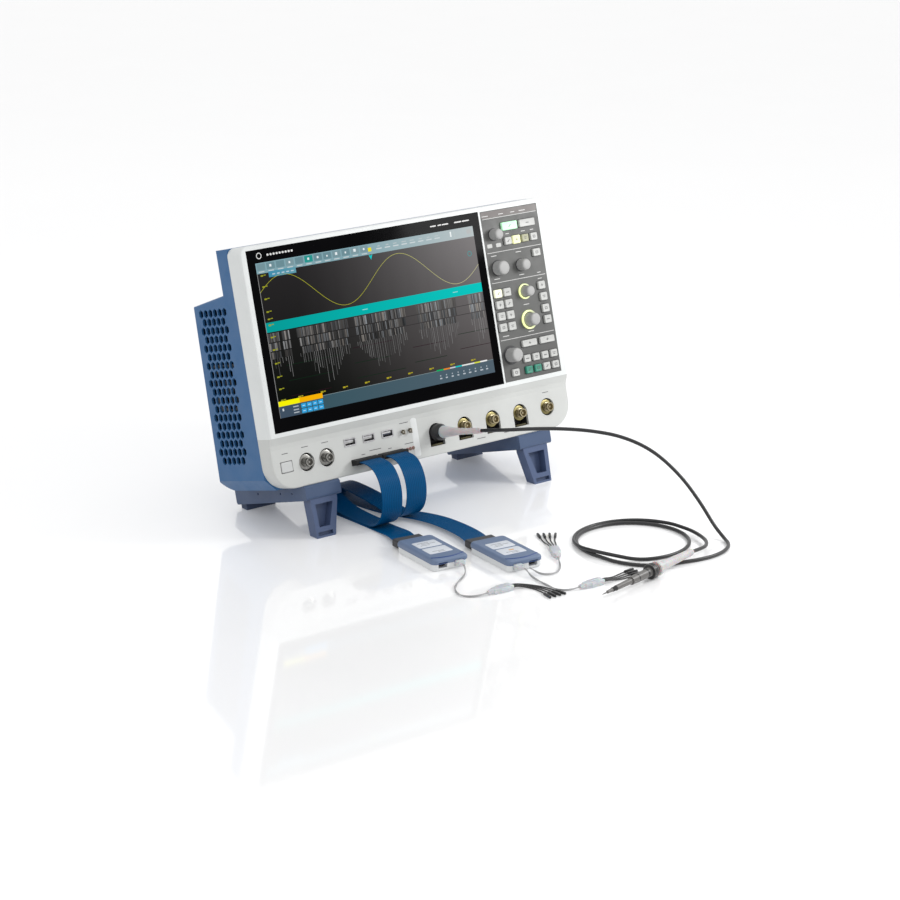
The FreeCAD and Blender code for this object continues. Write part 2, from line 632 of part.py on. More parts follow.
def rear_sockets():
    """The mains inlet, network, display and host sockets and three signal sockets at the rear."""
    items = []
    inlet = box("inlet_block", ("-104", "rear_deep - 22", "bulge_low + 26"), ("28", "19", "22"))
    well = box("inlet_well", ("-101.5", "rear_deep - 17", "bulge_low + 28.5"), ("23", "16", "17"))
    pins = [box(f"inlet_pin{i}", (x, "rear_deep - 18", f"bulge_low + {z}"), ("2", "11", "4"))
            for i, (x, z) in enumerate(((-97, 34), (-85, 34), (-91, 39)))]
    items.append(fuse("inlet", [cut("inlet_shell", inlet, [well])] + pins))
    for i, (x, wide, tall) in enumerate(REAR_PORTS):
        shell = box(f"port_shell{i}", (x, "rear_deep - 18", "bulge_low + 30"), (wide, "14", tall))
        space = box(f"port_space{i}", (x + 1, "rear_deep - 15", "bulge_low + 31"), (wide - 2, "12", tall - 2))
        items.append(cut(f"port{i}", shell, [space]))
    for i, x in enumerate(REAR_BNC):
        barrel = bar(f"rear_barrel{i}", (x, "rear_deep - 18", "bulge_low + 38"), "4.8", "24")
        bore = bar(f"rear_bore{i}", (x, "rear_deep - 4", "bulge_low + 38"), "3.6", "12")
        pin = bar(f"rear_pin{i}", (x, "rear_deep - 6", "bulge_low + 38"), "1", "10")
        items.append(fuse(f"rear_bnc{i}", [cut(f"rear_tube{i}", barrel, [bore]), pin]))
    return group("rear_sockets", items)


# ---------------------------------------------------------------- inside the case

def inner_parts():
    """The chassis sheet, the main board with its shields and heat sink, and the power supply."""
    plate = box("chassis_plate", ("-198", "bezel_deep + 0.4", "18"), ("396", "1.5", "236"))
    windows = [box("chassis_window0", ("-150", "bezel_deep", "80"), ("220", "4", "130")),
               box("chassis_window1", ("124", "bezel_deep", "75"), ("66", "4", "165")),
               box("chassis_window2", ("-192", "bezel_deep", "22"), ("384", "4", "28"))]
    cut("front_chassis", plate, windows)
    board = box("main_plate", ("-150", "34", "8"), ("330", "1.6", "180"))
    chips = [box(f"shield{i}", (f"channel_x + {i} * channel_pitch - 16", "35.6", "16"), ("32", "6", "44"))
             for i in range(4)]
    chips += [box(f"chip{i}", (x, "35.6", z), (side, "3", side))
              for i, (x, z, side) in enumerate(((-110, 120, 40), (-50, 130, 30), (10, 120, 36), (-110, 60, 24)))]
    base = box("sink_base", ("-112", "38.6", "114"), ("164", "4", "50"))
    fins = [box(f"sink_fin{i}", (-112 + 12.5 * i, "42.6", "114"), ("1.5", "30", "50")) for i in range(14)]
    group("main_board", [fuse("bare_board", [board] + chips), fuse("heat_sink", [base] + fins)])
    case = box("supply_case", ("60", "50", "12"), ("120", "50", "88"))
    hollow = box("supply_hollow", ("61.2", "51.2", "13.2"), ("117.6", "47.6", "85.6"))
    cut("power_supply", case, [hollow])


FAN_Z = 114


def fan_frame():
    """The square frame, struts, motor cup and pin of the fan behind the left grille."""
    z = FAN_Z
    block = box("fan_block", ("-202", "47", z - 25), ("15", "50", "50"))
    throat = bar("fan_throat", ("-203", "72", z), "23.5", "17", ACROSS)
    motor = bar("fan_motor", ("-190", "72", z), "8", "3", ACROSS)
    struts = [box("fan_strut0", ("-189", "71", z - 24), ("2", "2", "48")),
              box("fan_strut1", ("-189", "48", z - 1), ("2", "48", "2"))]
    pin = bar("fan_pin", ("-198", "72", z), "1.5", "9", ACROSS)
    return fuse("fan_frame", [cut("fan_ring", block, [throat]), motor, pin] + struts)


def fan_rotor():
    """A hub with seven pitched blades, bored to spin on the motor's pin."""
    z = FAN_Z
    hub = bar("rotor_hub", ("-201", "72", z), "9", "10.4", ACROSS)
    blades = []
    for i in range(7):
        blade = doc.addObject("Part::Box", f"rotor_blade{i}")
        bind(blade, Length="9", Width="1.2", Height="14")
        turn = FreeCAD.Rotation(ACROSS, 360 / 7 * i) * FreeCAD.Rotation(UPWARD, 35)
        blade.Placement = FreeCAD.Placement(Vector(-199.5, 72, z) + turn.multVec(Vector(0, 0, 8)), turn)
        blades.append(blade)
    bore = bar("rotor_bore", ("-199.5", "72", z), "1.55", "12", ACROSS)
    return cut("fan_rotor", fuse("rotor_wheel", [hub] + blades), [bore])


# ---------------------------------------------------------------- rails, legs and handle

def floor_under(y):
    """Height of the bench below a depth of the leaning case, as an expression."""
    return f"({y}) * tan(lean) - case_lift / cos(lean)"


def rail(name, sign):
    """A rail under the case with a bay at its front that the leg folds up into."""
    low, high = ("rail_in", "rail_out") if sign > 0 else ("-rail_out", "-rail_in")
    part = body(name)
    side = [("rail_front + 2", "0"), ("rail_front", "-2"), ("rail_front", "rail_low"),
            ("rail_back", "rail_heel"), ("rail_back", "0")]
    pad(part, polygon(part, "YZ_Plane", [side], offset=low), "rail_out - rail_in")
    round_off(part, "3", lambda s: runs_along(s, "X") and s.ZMax < -10)
    middle = f"{sign} * (rail_in + rail_out) / 2"
    bay = [("bay_front", "rail_low - 9"), ("bay_front", "bay_roof"),
           ("bay_back", "bay_roof"), ("bay_back", "rail_low - 9")]
    pocket(part, polygon(part, "YZ_Plane", [bay], offset=f"{middle}"), "rail_out - rail_in - 2 * bay_side",
           both_ways=True)
    pocket(part, discs(part, "YZ_Plane", [("pivot_y", "pivot_z", "pin_r + 0.02")], offset=middle),
           "rail_out - rail_in - 3", both_ways=True)
    holes = [(y, "-8", "1.2") for y in ("30", "52", "96")]
    outer = "rail_out" if sign > 0 else "-rail_out"
    pocket(part, discs(part, "YZ_Plane", holes, offset=outer), "2", backwards=sign < 0)
    return part


def leg(name, sign):
    """A tapered leg with a deep front recess and a slot above its foot, hinged at the top."""
    part = body(name)
    inner = lambda text: f"{sign} * ({text})"
    foot_back = "leg_front + leg_thick"
    foot = floor_under("leg_front + leg_thick / 2")
    outline = [(inner("leg_top_in"), "leg_top"), (inner("leg_top_out"), "leg_top"), (inner("leg_top_out"), "-20"),
               (inner("leg_foot_out"), "leg_low - 1"), (inner("leg_foot_in"), "leg_low - 1"),
               (inner("leg_top_in"), "-20")]
    pad(part, polygon(part, "XZ_Plane", [outline], offset="-leg_front"), "leg_thick", backwards=True)
    top = number("leg_top") - 0.1
    round_off(part, "leg_thick / 2 - 0.05", lambda s: runs_along(s, "X") and s.ZMin > top)
    waste = [("leg_front - 3", floor_under("leg_front - 3")), (f"{foot_back} + 3", floor_under(f"{foot_back} + 3")),
             (f"{foot_back} + 3", "leg_low - 9"), ("leg_front - 3", "leg_low - 9")]
    pocket(part, polygon(part, "YZ_Plane", [waste], offset=inner("(leg_top_in + leg_top_out) / 2")), "60",
           both_ways=True)
    window = [(inner("leg_top_in + 6.5"), "-22"), (inner("leg_top_out - 5.5"), "-22"),
              (inner("leg_foot_out - 5"), "-47"), (inner("leg_foot_in + 5"), "-47")]
    pocket(part, polygon(part, "XZ_Plane", [window], offset="-leg_front"), "leg_thick - 2.5")
    slot = rectangle(inner("leg_foot_in + 2.4"), "-56.2", inner("leg_foot_out - 2.2"), "-52.2")
    pocket(part, polygon(part, "XZ_Plane", [slot], offset="-leg_front"), "4")
    pocket(part, discs(part, "YZ_Plane", [("pivot_y", "pivot_z", "pin_r + pin_fit")],
                       offset=inner("(leg_top_in + leg_top_out) / 2")), "60", both_ways=True)
    return part


def hinge_pins():
    """One pin across each rail, through the top of the leg."""
    pins = [bar(f"hinge_pin{i}", (f"{start} + 1.6", "pivot_y", "pivot_z"), "pin_r",
                "rail_out - rail_in - 3.2", ACROSS) for i, start in enumerate(("-rail_out", "rail_in"))]
    return group("hinge_pins", pins)


def rear_feet():
    """A rubber wedge under the back of each rail, flat to the bench."""
    pads = []
    for i, start in enumerate(("-rail_out + 4", "rail_in + 4")):
        wedge = body(f"foot_wedge{i}")
        top = "rail_low + (rail_heel - rail_low) * ({} - rail_front) / (rail_back - rail_front)"
        side = [("129", top.format("129")), ("139", top.format("139")), ("139", floor_under("139")),
                ("129", floor_under("129"))]
        pad(wedge, polygon(wedge, "YZ_Plane", [side], offset=start), "rail_out - rail_in - 8")
        pads.append(wedge)
    return group("rear_feet", pads)


def carry_handle():
    """A bail on the shoulder behind the top edge; it lies down flat and swings up."""
    arms = [box(f"handle_arm{i}", (x, "handle_y - 4", "handle_low"),
                ("12", "handle_back - 18 - handle_y + 5", "handle_thick")) for i, x in enumerate((-112, 100))]
    grip = box("handle_grip", ("-112", "handle_back - 18", "handle_low"), ("224", "18", "handle_thick"))
    loop = ease("handle_loop", fuse("handle_bow", arms + [grip]), "1.8")
    bore = bar("handle_bore", ("-130", "handle_y", "handle_low + handle_thick / 2"), "2.05", "260", ACROSS)
    return cut("carry_handle", loop, [bore])


def handle_mounts():
    """Two bosses on the sloping shoulder, each with the pin that the handle swings on."""
    mounts = []
    slope = "(notch_z - shoulder_z) / (side_deep - cap_deep)"
    for i, (start, toward) in enumerate((("-122.5", 1), ("112.5", -1))):
        boss = body(f"handle_boss{i}")
        side = [(y, f"notch_z - ({y} - cap_deep) * {slope}") for y in ("50", "66")]
        side += [("66", "handle_low + handle_thick"), ("50", "handle_low + handle_thick")]
        pad(boss, polygon(boss, "YZ_Plane", [side], offset=start), "10")
        inner_face = f"{start} + 9" if toward > 0 else f"{start} + 1"
        pin = bar(f"handle_pin{i}", (inner_face, "handle_y", "handle_low + handle_thick / 2"), "2", "12",
                  ACROSS * toward)
        mounts.append(fuse(f"handle_mount{i}", [boss, pin]))
    return group("handle_mounts", mounts)


def case_screws():
    """Cap screws in the rear of the shell and up into the rails."""
    screws = []
    for i, (x, z) in enumerate(((-142, 24), (142, 24), (-142, 160), (142, 160))):
        head = bar(f"screw_head{i}", (x, "rear_deep", z), "3.6", "2.2")
        hexagonal = doc.addObject("Part::Prism", f"screw_drive{i}")
        hexagonal.Polygon = 6
        hexagonal.Placement = FreeCAD.Placement(Vector(), FreeCAD.Rotation(UPWARD, INWARD))
        bind(hexagonal, Circumradius="1.7", Height="3")
        move(hexagonal, (x, "rear_deep + 0.8", z))
        screws.append(cut(f"screw{i}", head, [hexagonal]))
    return group("case_screws", screws)


# ---------------------------------------------------------------- pods, ribbons and leads

PODS = [("left", -109.0, -220.0), ("right", -50.7, -270.0)]


def pod_place(x, y):
    """Where a pod's own frame lies on the bench: its long axis runs back towards its ribbon."""
    turn = FreeCAD.Rotation(UPWARD, -number("pod_turn"))
    return FreeCAD.Placement(Vector(x, y, 0), turn)


def in_pod(pod, item):
    item.Placement = pod_place(*pod[1:]).multiply(item.Placement)
    return item


def pod_shells():
    """Two-part pod housings: a dished pale base and a rounded blue-grey lid."""
    lids, bases = [], []
    for pod in PODS:
        side = pod[0]
        base = body(f"pod_base_{side}")
        half = "pod_wide / 2 - 1"
        foot = rectangle(f"-({half})", "-pod_long / 2 + 1", half, "pod_long / 2 - 1")
        pad(base, polygon(base, "XY_Plane", [foot]), "pod_low_tall")
        round_off(base, "5", lambda s: runs_along(s, "Z"))
        round_off(base, "2.4", lambda s: s.ZMax < 0.01)
        lid = body(f"pod_lid_{side}")
        rim = rectangle("-pod_wide / 2", "-pod_long / 2", "pod_wide / 2", "pod_long / 2")
        pad(lid, polygon(lid, "XY_Plane", [rim], offset="pod_low_tall"), "pod_high_tall")
        round_off(lid, "6", lambda s: runs_along(s, "Z"))
        top = number("pod_low_tall + pod_high_tall") - 0.01
        round_off(lid, "3.2", lambda s: s.ZMin > top)
        ports = [rectangle("-15", "pod_low_tall - 5", "-4.4", "pod_low_tall + 1.2"),
                 rectangle("4.4", "pod_low_tall - 5", "15", "pod_low_tall + 1.2")]
        pocket(base, polygon(base, "XZ_Plane", ports, offset="pod_long / 2 + 1"), "8")
        pocket(lid, polygon(lid, "XZ_Plane", ports, offset="pod_long / 2 + 1"), "8")
        bases.append(in_pod(pod, base))
        lids.append(in_pod(pod, lid))
    return group("pod_lower_shells", bases), group("pod_upper_shells", lids)


def pod_reliefs():
    """A soft clamp block where each ribbon enters its pod."""
    blocks = []
    for pod in PODS:
        block = box(f"relief_block_{pod[0]}", ("-17", "pod_long / 2", "1.6"), ("34", "16", "8.4"))
        eased = ease(f"relief_{pod[0]}", block, "1.6", lambda s: not flat(s, "Y") or s.YMin > 50)
        blocks.append(in_pod(pod, eased))
    return group("pod_reliefs", blocks)


def logic_plugs():
    """Ribbon plugs: a paddle in each logic socket and a head in front of the strip."""
    plugs = []
    for i, x in enumerate(logic_spots()):
        paddle = box(f"plug_paddle{i}", (f"{x} - logic_wide / 2 + 1.6", "strip_back - 2", "logic_z - 1.9"),
                     ("logic_wide - 3.2", "8", "3.8"))
        head = box(f"plug_head{i}", (f"{x} - 17.6", "-5", "logic_z - 2.9"), ("35.2", "strip_back + 4", "5.8"))
        plugs.append(fuse(f"plug{i}", [paddle, ease(f"plug_shell{i}", head, "0.8")]))
    return group("logic_plugs", plugs)


def route(points):
    """Straight runs joined by tangent arcs, each as large as its two runs allow."""
    corners = [Vector(*point) for point in points]
    edges, start, radii = [], corners[0], []
    for before, corner, after in zip(corners, corners[1:], corners[2:]):
        back, on = before - corner, after - corner
        reach = 0.45 * min(back.Length, on.Length)
        enter = corner + back * (reach / back.Length)
        leave = corner + on * (reach / on.Length)
        half_turn = (math.pi - back.getAngle(on)) / 2
        radius = reach / math.tan(half_turn)
        radii.append(radius)
        towards = (enter + leave) * 0.5 - corner
        middle = corner + towards * ((math.hypot(radius, reach) - radius) / towards.Length)
        edges.append(Part.LineSegment(start, enter).toShape())
        edges.append(Part.Arc(enter, middle, leave).toShape())
        start = leave
    edges.append(Part.LineSegment(start, corners[-1]).toShape())
    return Part.Wire(edges), radii


def compare(name, solid, wire, section, radii):
    """Print a cord's length, least radius and volume against section times length."""
    ratio = solid.Volume / (section * wire.Length)
    print(f"{name}: length {wire.Length:.1f} mm, radii {min(radii):.1f} to {max(radii):.1f}, volume ratio {ratio:.3f}")


def tube(name, points, diameter):
    """A round cord along a route."""
    wire, radii = route(points)
    across = Vector(*points[1]) - Vector(*points[0])
    ring = Part.Wire([Part.Circle(Vector(*points[0]), across, diameter / 2).toShape()])
    solid = wire.makePipeShell([ring], True, True)
    compare(name, solid, wire, math.pi * diameter ** 2 / 4, radii)
    return solid


def strip_cord(name, points):
    """A flat ribbon along a route, its width always across the case."""
    wide, thick = number("ribbon_wide"), number("ribbon_thick")
    wire, radii = route(points)
    start = Vector(*points[0])
    along = (Vector(*points[1]) - start).normalize()
    side, up = ACROSS * (wide / 2), ACROSS.cross(along).normalize() * (thick / 2)
    corners = [start + side + up, start - side + up, start - side - up, start + side - up]
    sweep = Part.BRepOffsetAPI.MakePipeShell(wire)
    sweep.setBiNormalMode(ACROSS)
    sweep.add(Part.makePolygon(corners + corners[:1]))
    sweep.build()
    sweep.makeSolid()
    solid = sweep.shape()
    compare(name, solid, wire, wide * thick, radii)
    return solid


def cord(name, solids):
    """A sub-part of cord solids, whose sizes come from the sheet."""
    item = doc.addObject("Part::Feature", name)
    item.Shape = solids[0] if len(solids) == 1 else Part.Compound(solids)
    return item


# Ribbon routes in the bench frame: out of the plug, a loop down to the bench, back under the
# case, a hairpin, and forward along the bench into the pod.
RIBBON_LEFT = [
    (-88.5, -85.72, 71.61), (-88.5, -103, 73.5), (-88.5, -119, 61), (-88.5, -126, 41),
    (-88.5, -124, 19), (-88.5, -111, 4.6), (-88.5, -89, 2.6), (-88.5, -65, 3.2),
    (-88.5, -41, 5), (-88.5, -21, 11), (-88.5, -7, 16), (-88.5, 4, 12.5), (-88.5, 6, 4.6),
    (-88.4, -5, 0.7), (-88.1, -27, 0.66), (-87.6, -50, 0.66), (-87.4, -74, 0.66), (-87.6, -98, 0.7),
    (-89, -120, 1.4), (-92.2, -137, 3.6), (-97, -151, 5.4), (-101.8, -164.6, 5.8),
]
RIBBON_RIGHT = [
    (-52.5, -85.72, 71.61), (-52.5, -102, 73.2), (-52.5, -116, 60), (-52.5, -122.5, 41),
    (-52.5, -120, 20), (-52.5, -107, 6.6), (-52.5, -87, 6), (-52.5, -63, 9.6), (-52.5, -37, 13),
    (-52.5, -11, 14.6), (-52.5, 12, 14.8), (-52.5, 25, 10), (-52.5, 24.6, 3), (-52.4, 9, 0.7),
    (-52, -15, 0.66), (-50.6, -40, 0.66), (-47, -64, 0.7), (-41.5, -88, 1.6), (-36, -112, 3.6),
    (-33.6, -136, 5), (-33.8, -160, 5.4), (-35.8, -183, 5.6), (-39.4, -201, 5.8),
    (-44.2, -215.6, 5.8),
]


def ribbons():
    cord("ribbon_left", [strip_cord("ribbon_left", RIBBON_LEFT)])
    cord("ribbon_right", [strip_cord("ribbon_right", RIBBON_RIGHT)])


# Lead routes on the bench: pod plug to wire housing.
LEADS = [
    [(-104.2, -266.2, 5.8), (-107.4, -273, 4.4), (-113.6, -280.6, 1.7), (-124, -288, 1.3), (-137, -296, 1.25),
     (-149, -307, 1.25), (-157, -321, 1.25), (-154.6, -334, 1.25), (-144, -340.4, 1.7), (-133.4, -341, 3)],
    [(-62.4, -315, 5.8), (-64.2, -322, 4.4), (-66, -330.4, 1.7), (-67.4, -342, 1.3), (-69, -355, 1.25),
     (-70.4, -369, 1.25), (-68, -380.6, 1.7), (-60, -385.6, 2.2), (-50.4, -386, 3)],
    [(-57, -316.4, 5.8), (-56.6, -323, 4.4), (-53.4, -330, 1.7), (-45, -335.4, 1.3), (-34, -334, 1.25),
     (-24, -326, 1.25), (-15, -315, 1.7), (-8.4, -304.6, 3)],
]

# Each housing: centre, heading in degrees from +X, and whether its wires bend to the right.
HOUSINGS = [(-118, -341, 0, True), (-35, -386, 0, False), (0, -291.4, 58, False)]
HOUSING = (31, 11.2, 6)
WIRES_PER_HOUSING = 4

# Steps of a wire from its housing, in the housing's frame: along, across, height, and how far
# each wire stands from the next. The bent fan turns to the right, the other runs on ahead.
FAN_BENT = [(15.1, 0, 3, 2.4), (21, -0.4, 3.1, 2.4), (27.6, -2.8, 1.8, 2.6), (33.4, -8, 0.9, 2.9),
            (37, -15.6, 0.8, 3.4), (38.4, -25, 0.9, 4.1), (38, -34, 1.3, 5)]
FAN_AHEAD = [(15.1, 0, 3, 2.4), (21.4, 0.2, 3.1, 2.5), (28.4, -0.4, 1.8, 2.9), (36.4, 0, 0.9, 3.6),
             (45.4, 1, 0.8, 4.4), (53.4, 0.6, 1.3, 5.2)]


def placed(item, x, y, heading):
    item.Placement = FreeCAD.Placement(Vector(x, y, 0), FreeCAD.Rotation(UPWARD, heading)).multiply(item.Placement)
    return item


def leads():
    diameter = number("lead_d")
    cord("lead_cords", [tube(f"lead_{i}", points, diameter) for i, points in enumerate(LEADS)])


def wire_routes(i):
    """The route of each wire that fans out of a housing, in the bench frame."""
    x, y, heading, bent = HOUSINGS[i]
    place = FreeCAD.Placement(Vector(x, y, 0), FreeCAD.Rotation(UPWARD, heading))
    steps = FAN_BENT if bent else FAN_AHEAD
    routes = []
    for k in range(WIRES_PER_HOUSING):
        side = k - (WIRES_PER_HOUSING - 1) / 2
        points = []
        for step, (along, across, height, apart) in enumerate(steps):
            near, far = steps[max(step - 1, 0)], steps[min(step + 1, len(steps) - 1)]
            normal = Vector(near[1] - far[1], far[0] - near[0], 0).normalize()
            points.append(tuple(place.multVec(Vector(along, across, height) + normal * (side * apart))))
        routes.append(points)
    return routes


def lead_connectors():
    """Pod plugs, wire housings and the single-pin sockets on the wires' ends."""
    items = []
    for pod, offset, wide in ((PODS[0], 9.7, 10), (PODS[1], -9.7, 10)):
        head = box(f"pod_plug_{pod[0]}", (offset - wide / 2, "-pod_long / 2 - 6", "pod_low_tall - 4.6"),
                   (wide, "12", "5.4"))
        items.append(in_pod(pod, ease(f"pod_plug_cap_{pod[0]}", head, "0.6")))
    long, wide, tall = HOUSING
    for i, (x, y, heading, _) in enumerate(HOUSINGS):
        block = box(f"housing_block{i}", (-long / 2, -wide / 2, "0"), (long, wide, tall))
        items.append(placed(ease(f"housing{i}", block, "0.9"), x, y, heading))
        for k, wire in enumerate(wire_routes(i)):
            tip, before = Vector(*wire[-1]), Vector(*wire[-2])
            angle = math.degrees(math.atan2(tip.y - before.y, tip.x - before.x))
            block = box(f"wire_block{i}_{k}", ("-0.5", "-1.3", "0"), ("14", "2.6", "2.6"))
            items.append(placed(ease(f"wire_socket{i}_{k}", block, "0.3"), tip.x, tip.y, angle))
    return group("lead_connectors", items)


def fly_wires():
    solids = []
    for i in range(len(HOUSINGS)):
        solids += [tube(f"wire_{i}_{k}", wire, number("wire_d")) for k, wire in enumerate(wire_routes(i))]
    cord("fly_wires", solids)


# ---------------------------------------------------------------- passive probe

PROBE_TAIL = (100.0, -393.0, 10.0)
PROBE_TIP = (-52.8, -424.0, 6.4)

# From the boot at the first input down to the bench, under the probe's boot and into the coil.
CABLE_FALL = [
    (13.3, -151.6, 101.3), (14.6, -178, 107.6), (22, -194, 110.6), (38, -210.6, 112.6), (62, -227.6, 112.2),
    (90, -245, 108.6), (117, -264.6, 101.6), (140, -288, 87), (157, -313, 62), (167, -334, 35),
    (172, -351, 12), (171.5, -367, 2.6), (163, -384, 2.05), (146, -396, 2.02), (125, -401, 2.02),
    (104, -399.6, 2.02), (84, -394.4, 2.02), (64, -388, 2.05), (47, -378, 2.2), (36, -363, 3), (30.6, -347, 4.5),
]
# From the coil's right side round to the boot on the probe.
CABLE_RISE = [
    (155.5, -318, 5.6), (156, -334, 5.2), (152, -352, 5), (144, -369, 5.4), (131, -381.6, 6.4),
    (116, -389, 8.6), (101, -392.8, 9.9),
]


def bnc_plug():
    """The probe's plug: a ribbed collar that fills the first channel's well."""
    x = "channel_x"
    collar = bar("collar_block", (x, "-5", "socket_z"), "9.2", "strip_back + 5 + 9")
    core = bar("collar_bore", (x, "-2", "socket_z"), "bnc_r + 0.1", "40")
    lug_room = bar("collar_lug_room", (x, "-1.5", "socket_z"), "6.4", "40")
    nose = taper("collar_nose", (x, "-5", "socket_z"), "8.6", "7.4", "3", -INWARD)
    return fuse("probe_plug", [cut("probe_collar", collar, [core, lug_room]), nose])


def probe_axis():
    tail, tip = Vector(*PROBE_TAIL), Vector(*PROBE_TIP)
    return tail, (tip - tail).normalize()


def probe_boots():
    """The grey bend reliefs at both ends of the probe's cable."""
    root = taper("plug_cone_root", ("channel_x", "-8", "socket_z"), "7.3", "5", "26", -INWARD)
    cone = taper("plug_cone", ("channel_x", "-34", "socket_z"), "5", "2.4", "boot_long - 34", -INWARD)
    plug_boot = fuse("plug_boot", [root, cone])
    plug_boot.Placement = LEAN
    tail, heading = probe_axis()
    sleeve = taper("handle_boot", tail, "3.6", "5.4", "60", heading)
    flange = taper("handle_flange", tail + heading * 60, "7.6", "8", "5", heading)
    return group("probe_boots", [plug_boot, fuse("handle_boot_all", [sleeve, flange])])


def probe_handle():
    """Finger ring, barrel, stepped nose and tip, in line."""
    tail, heading = probe_axis()
    stages = [(65, 5, 5, 5), (70, 6, 8.2, 8.2), (76, 32, 5, 4.4), (108, 26, 3.1, 2.7),
              (134, 14, 2.2, 1.6), (148, 8, 0.9, 0.35)]
    parts = [taper(f"probe_stage{i}", tail + heading * start, r0, r1, long, heading)
             for i, (start, long, r0, r1) in enumerate(stages)]
    return fuse("probe_handle", parts)


def probe_cable():
    diameter = number("cable_d")
    cord("probe_cable", [tube("probe_cable_fall", CABLE_FALL, diameter),
                         tube("probe_cable_rise", CABLE_RISE, diameter)])
    outer = bar("coil_outer", ("coil_x", "coil_y", "0"), "coil_out", "coil_tall", UPWARD)
    inner = bar("coil_inner", ("coil_x", "coil_y", "-1"), "coil_in", "coil_tall + 2", UPWARD)
    ease("probe_coil", cut("coil_ring", outer, [inner]), "2")


# ---------------------------------------------------------------- the whole instrument

# The case leans back about its width, lifted so that its legs and rear feet meet the bench.
LEAN = FreeCAD.Placement(Vector(0, number("case_setback"), number("case_lift")),
                         FreeCAD.Rotation(ACROSS, -number("lean")))


def make_instrument():
    """Every sub-part that leans with the case."""
    front_frame()
    connector_strip()
    display()
    control_panel()
    keypad_board()
    encoder_bodies()
    light_rings()
    for title in KNOBS:
        knob(title)
    for title in KEYS:
        keys(title)
    power_key()
    sockets = [bnc(f"generator{i}", x, "socket_z") for i, x in enumerate(generator_spots())]
    group("generator_sockets", sockets)
    gilded = channel_spots() + ["trigger_x"]
    group("channel_sockets", [bnc(f"channel{i}", x, "socket_z") for i, x in enumerate(gilded)])
    socket_cups()
    probe_contacts()
    usb_sockets()
    logic_sockets()
    demo_lugs()
    rear_shell()
    vent_grilles()
    rear_panel()
    rear_sockets()
    inner_parts()
    fan_frame()
    fan_rotor()
    group("base_rails", [rail("rail_left", -1), rail("rail_right", 1)])
    leg("left_leg", -1)
    leg("right_leg", 1)
    hinge_pins()
    rear_feet()
    handle_mounts()
    carry_handle()
    case_screws()
    logic_plugs()
    bnc_plug()


def make_accessories():
    """Pods, ribbons, leads and the probe, where they lie on the bench."""
    pod_shells()
    pod_reliefs()
    ribbons()
    leads()
    fly_wires()
    lead_connectors()
    probe_boots()
    probe_cable()
    probe_handle()


ACCESSORIES = ["pod_upper_shells", "pod_lower_shells", "pod_reliefs", "ribbon_left", "ribbon_right",
               "lead_cords", "fly_wires", "lead_connectors", "probe_boots", "probe_cable", "probe_coil",
               "probe_handle"]
ON_THE_CORDS = ["logic_plugs", "probe_plug"]
INSTRUMENT = [
    "front_frame", "connector_strip", "display_glass", "lcd_module", "control_panel", "keypad_board",
    "encoder_bodies", "light_rings", "generator_sockets", "channel_sockets", "socket_cups",
    "probe_contacts", "usb_sockets", "logic_sockets", "demo_lugs", "rear_shell", "vent_grilles",
    "rear_panel", "rear_sockets", "front_chassis", "main_board", "power_supply", "fan_frame",
    "fan_rotor", "base_rails", "left_leg", "right_leg", "hinge_pins", "rear_feet", "handle_mounts",
    "carry_handle", "case_screws", "power_key"] + list(KNOBS) + list(KEYS)

make_instrument()
make_accessories()
doc.recompute()

for title in INSTRUMENT + ON_THE_CORDS:
    doc.getObject(title).Placement = LEAN
doc.recompute()

for item in doc.Objects:
    if "Invalid" in item.State or "Error" in item.State:
        raise RuntimeError(f"{item.Name} did not compute: {item.State}")

os.makedirs("parts", exist_ok=True)
whole = FreeCAD.BoundBox()
for title in INSTRUMENT + ON_THE_CORDS + ACCESSORIES:
    item = doc.getObject(title)
    item.Label = title
    if item.Shape.isNull() or not item.Shape.isValid() or not item.Shape.Solids:
        raise RuntimeError(f"{title} has no sound solid")
    item.Shape.exportStep(f"parts/{title}.step")
    if title in INSTRUMENT:
        whole.add(item.Shape.optimalBoundingBox(False))

print(f"{len(INSTRUMENT + ON_THE_CORDS + ACCESSORIES)} sub-parts")
print(f"instrument: x {whole.XMin:.2f} to {whole.XMax:.2f}, y {whole.YMin:.2f} to {whole.YMax:.2f}, "
      f"z {whole.ZMin:.2f} to {whole.ZMax:.2f} mm")
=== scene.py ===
import json
import math
import random

import bmesh
import bpy
from mathutils import Matrix, Vector


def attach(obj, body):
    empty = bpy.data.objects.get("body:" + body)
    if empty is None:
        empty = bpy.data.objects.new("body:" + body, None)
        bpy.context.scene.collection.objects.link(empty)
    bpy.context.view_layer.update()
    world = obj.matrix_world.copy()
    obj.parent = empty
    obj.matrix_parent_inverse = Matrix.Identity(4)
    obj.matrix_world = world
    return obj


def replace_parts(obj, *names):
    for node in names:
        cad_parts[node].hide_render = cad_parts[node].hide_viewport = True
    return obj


# The looks of a bench mixed-signal analyzer, its logic pods and its passive probe, built
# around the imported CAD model. Case sizes are in millimetres in the case's own frame:
# X to the right, Y from the front face inward, Z up the front face.

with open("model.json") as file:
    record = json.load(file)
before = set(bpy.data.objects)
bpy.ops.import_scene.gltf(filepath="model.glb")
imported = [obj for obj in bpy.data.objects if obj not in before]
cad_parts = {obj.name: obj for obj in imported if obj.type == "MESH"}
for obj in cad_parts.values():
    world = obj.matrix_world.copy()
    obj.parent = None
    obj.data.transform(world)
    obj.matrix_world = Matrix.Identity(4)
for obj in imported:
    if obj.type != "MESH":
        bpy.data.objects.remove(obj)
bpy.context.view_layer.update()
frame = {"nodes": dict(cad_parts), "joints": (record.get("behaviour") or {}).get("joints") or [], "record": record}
nodes = frame["nodes"]
joints = {joint["name"]: joint for joint in frame["joints"]}
MM = 0.001

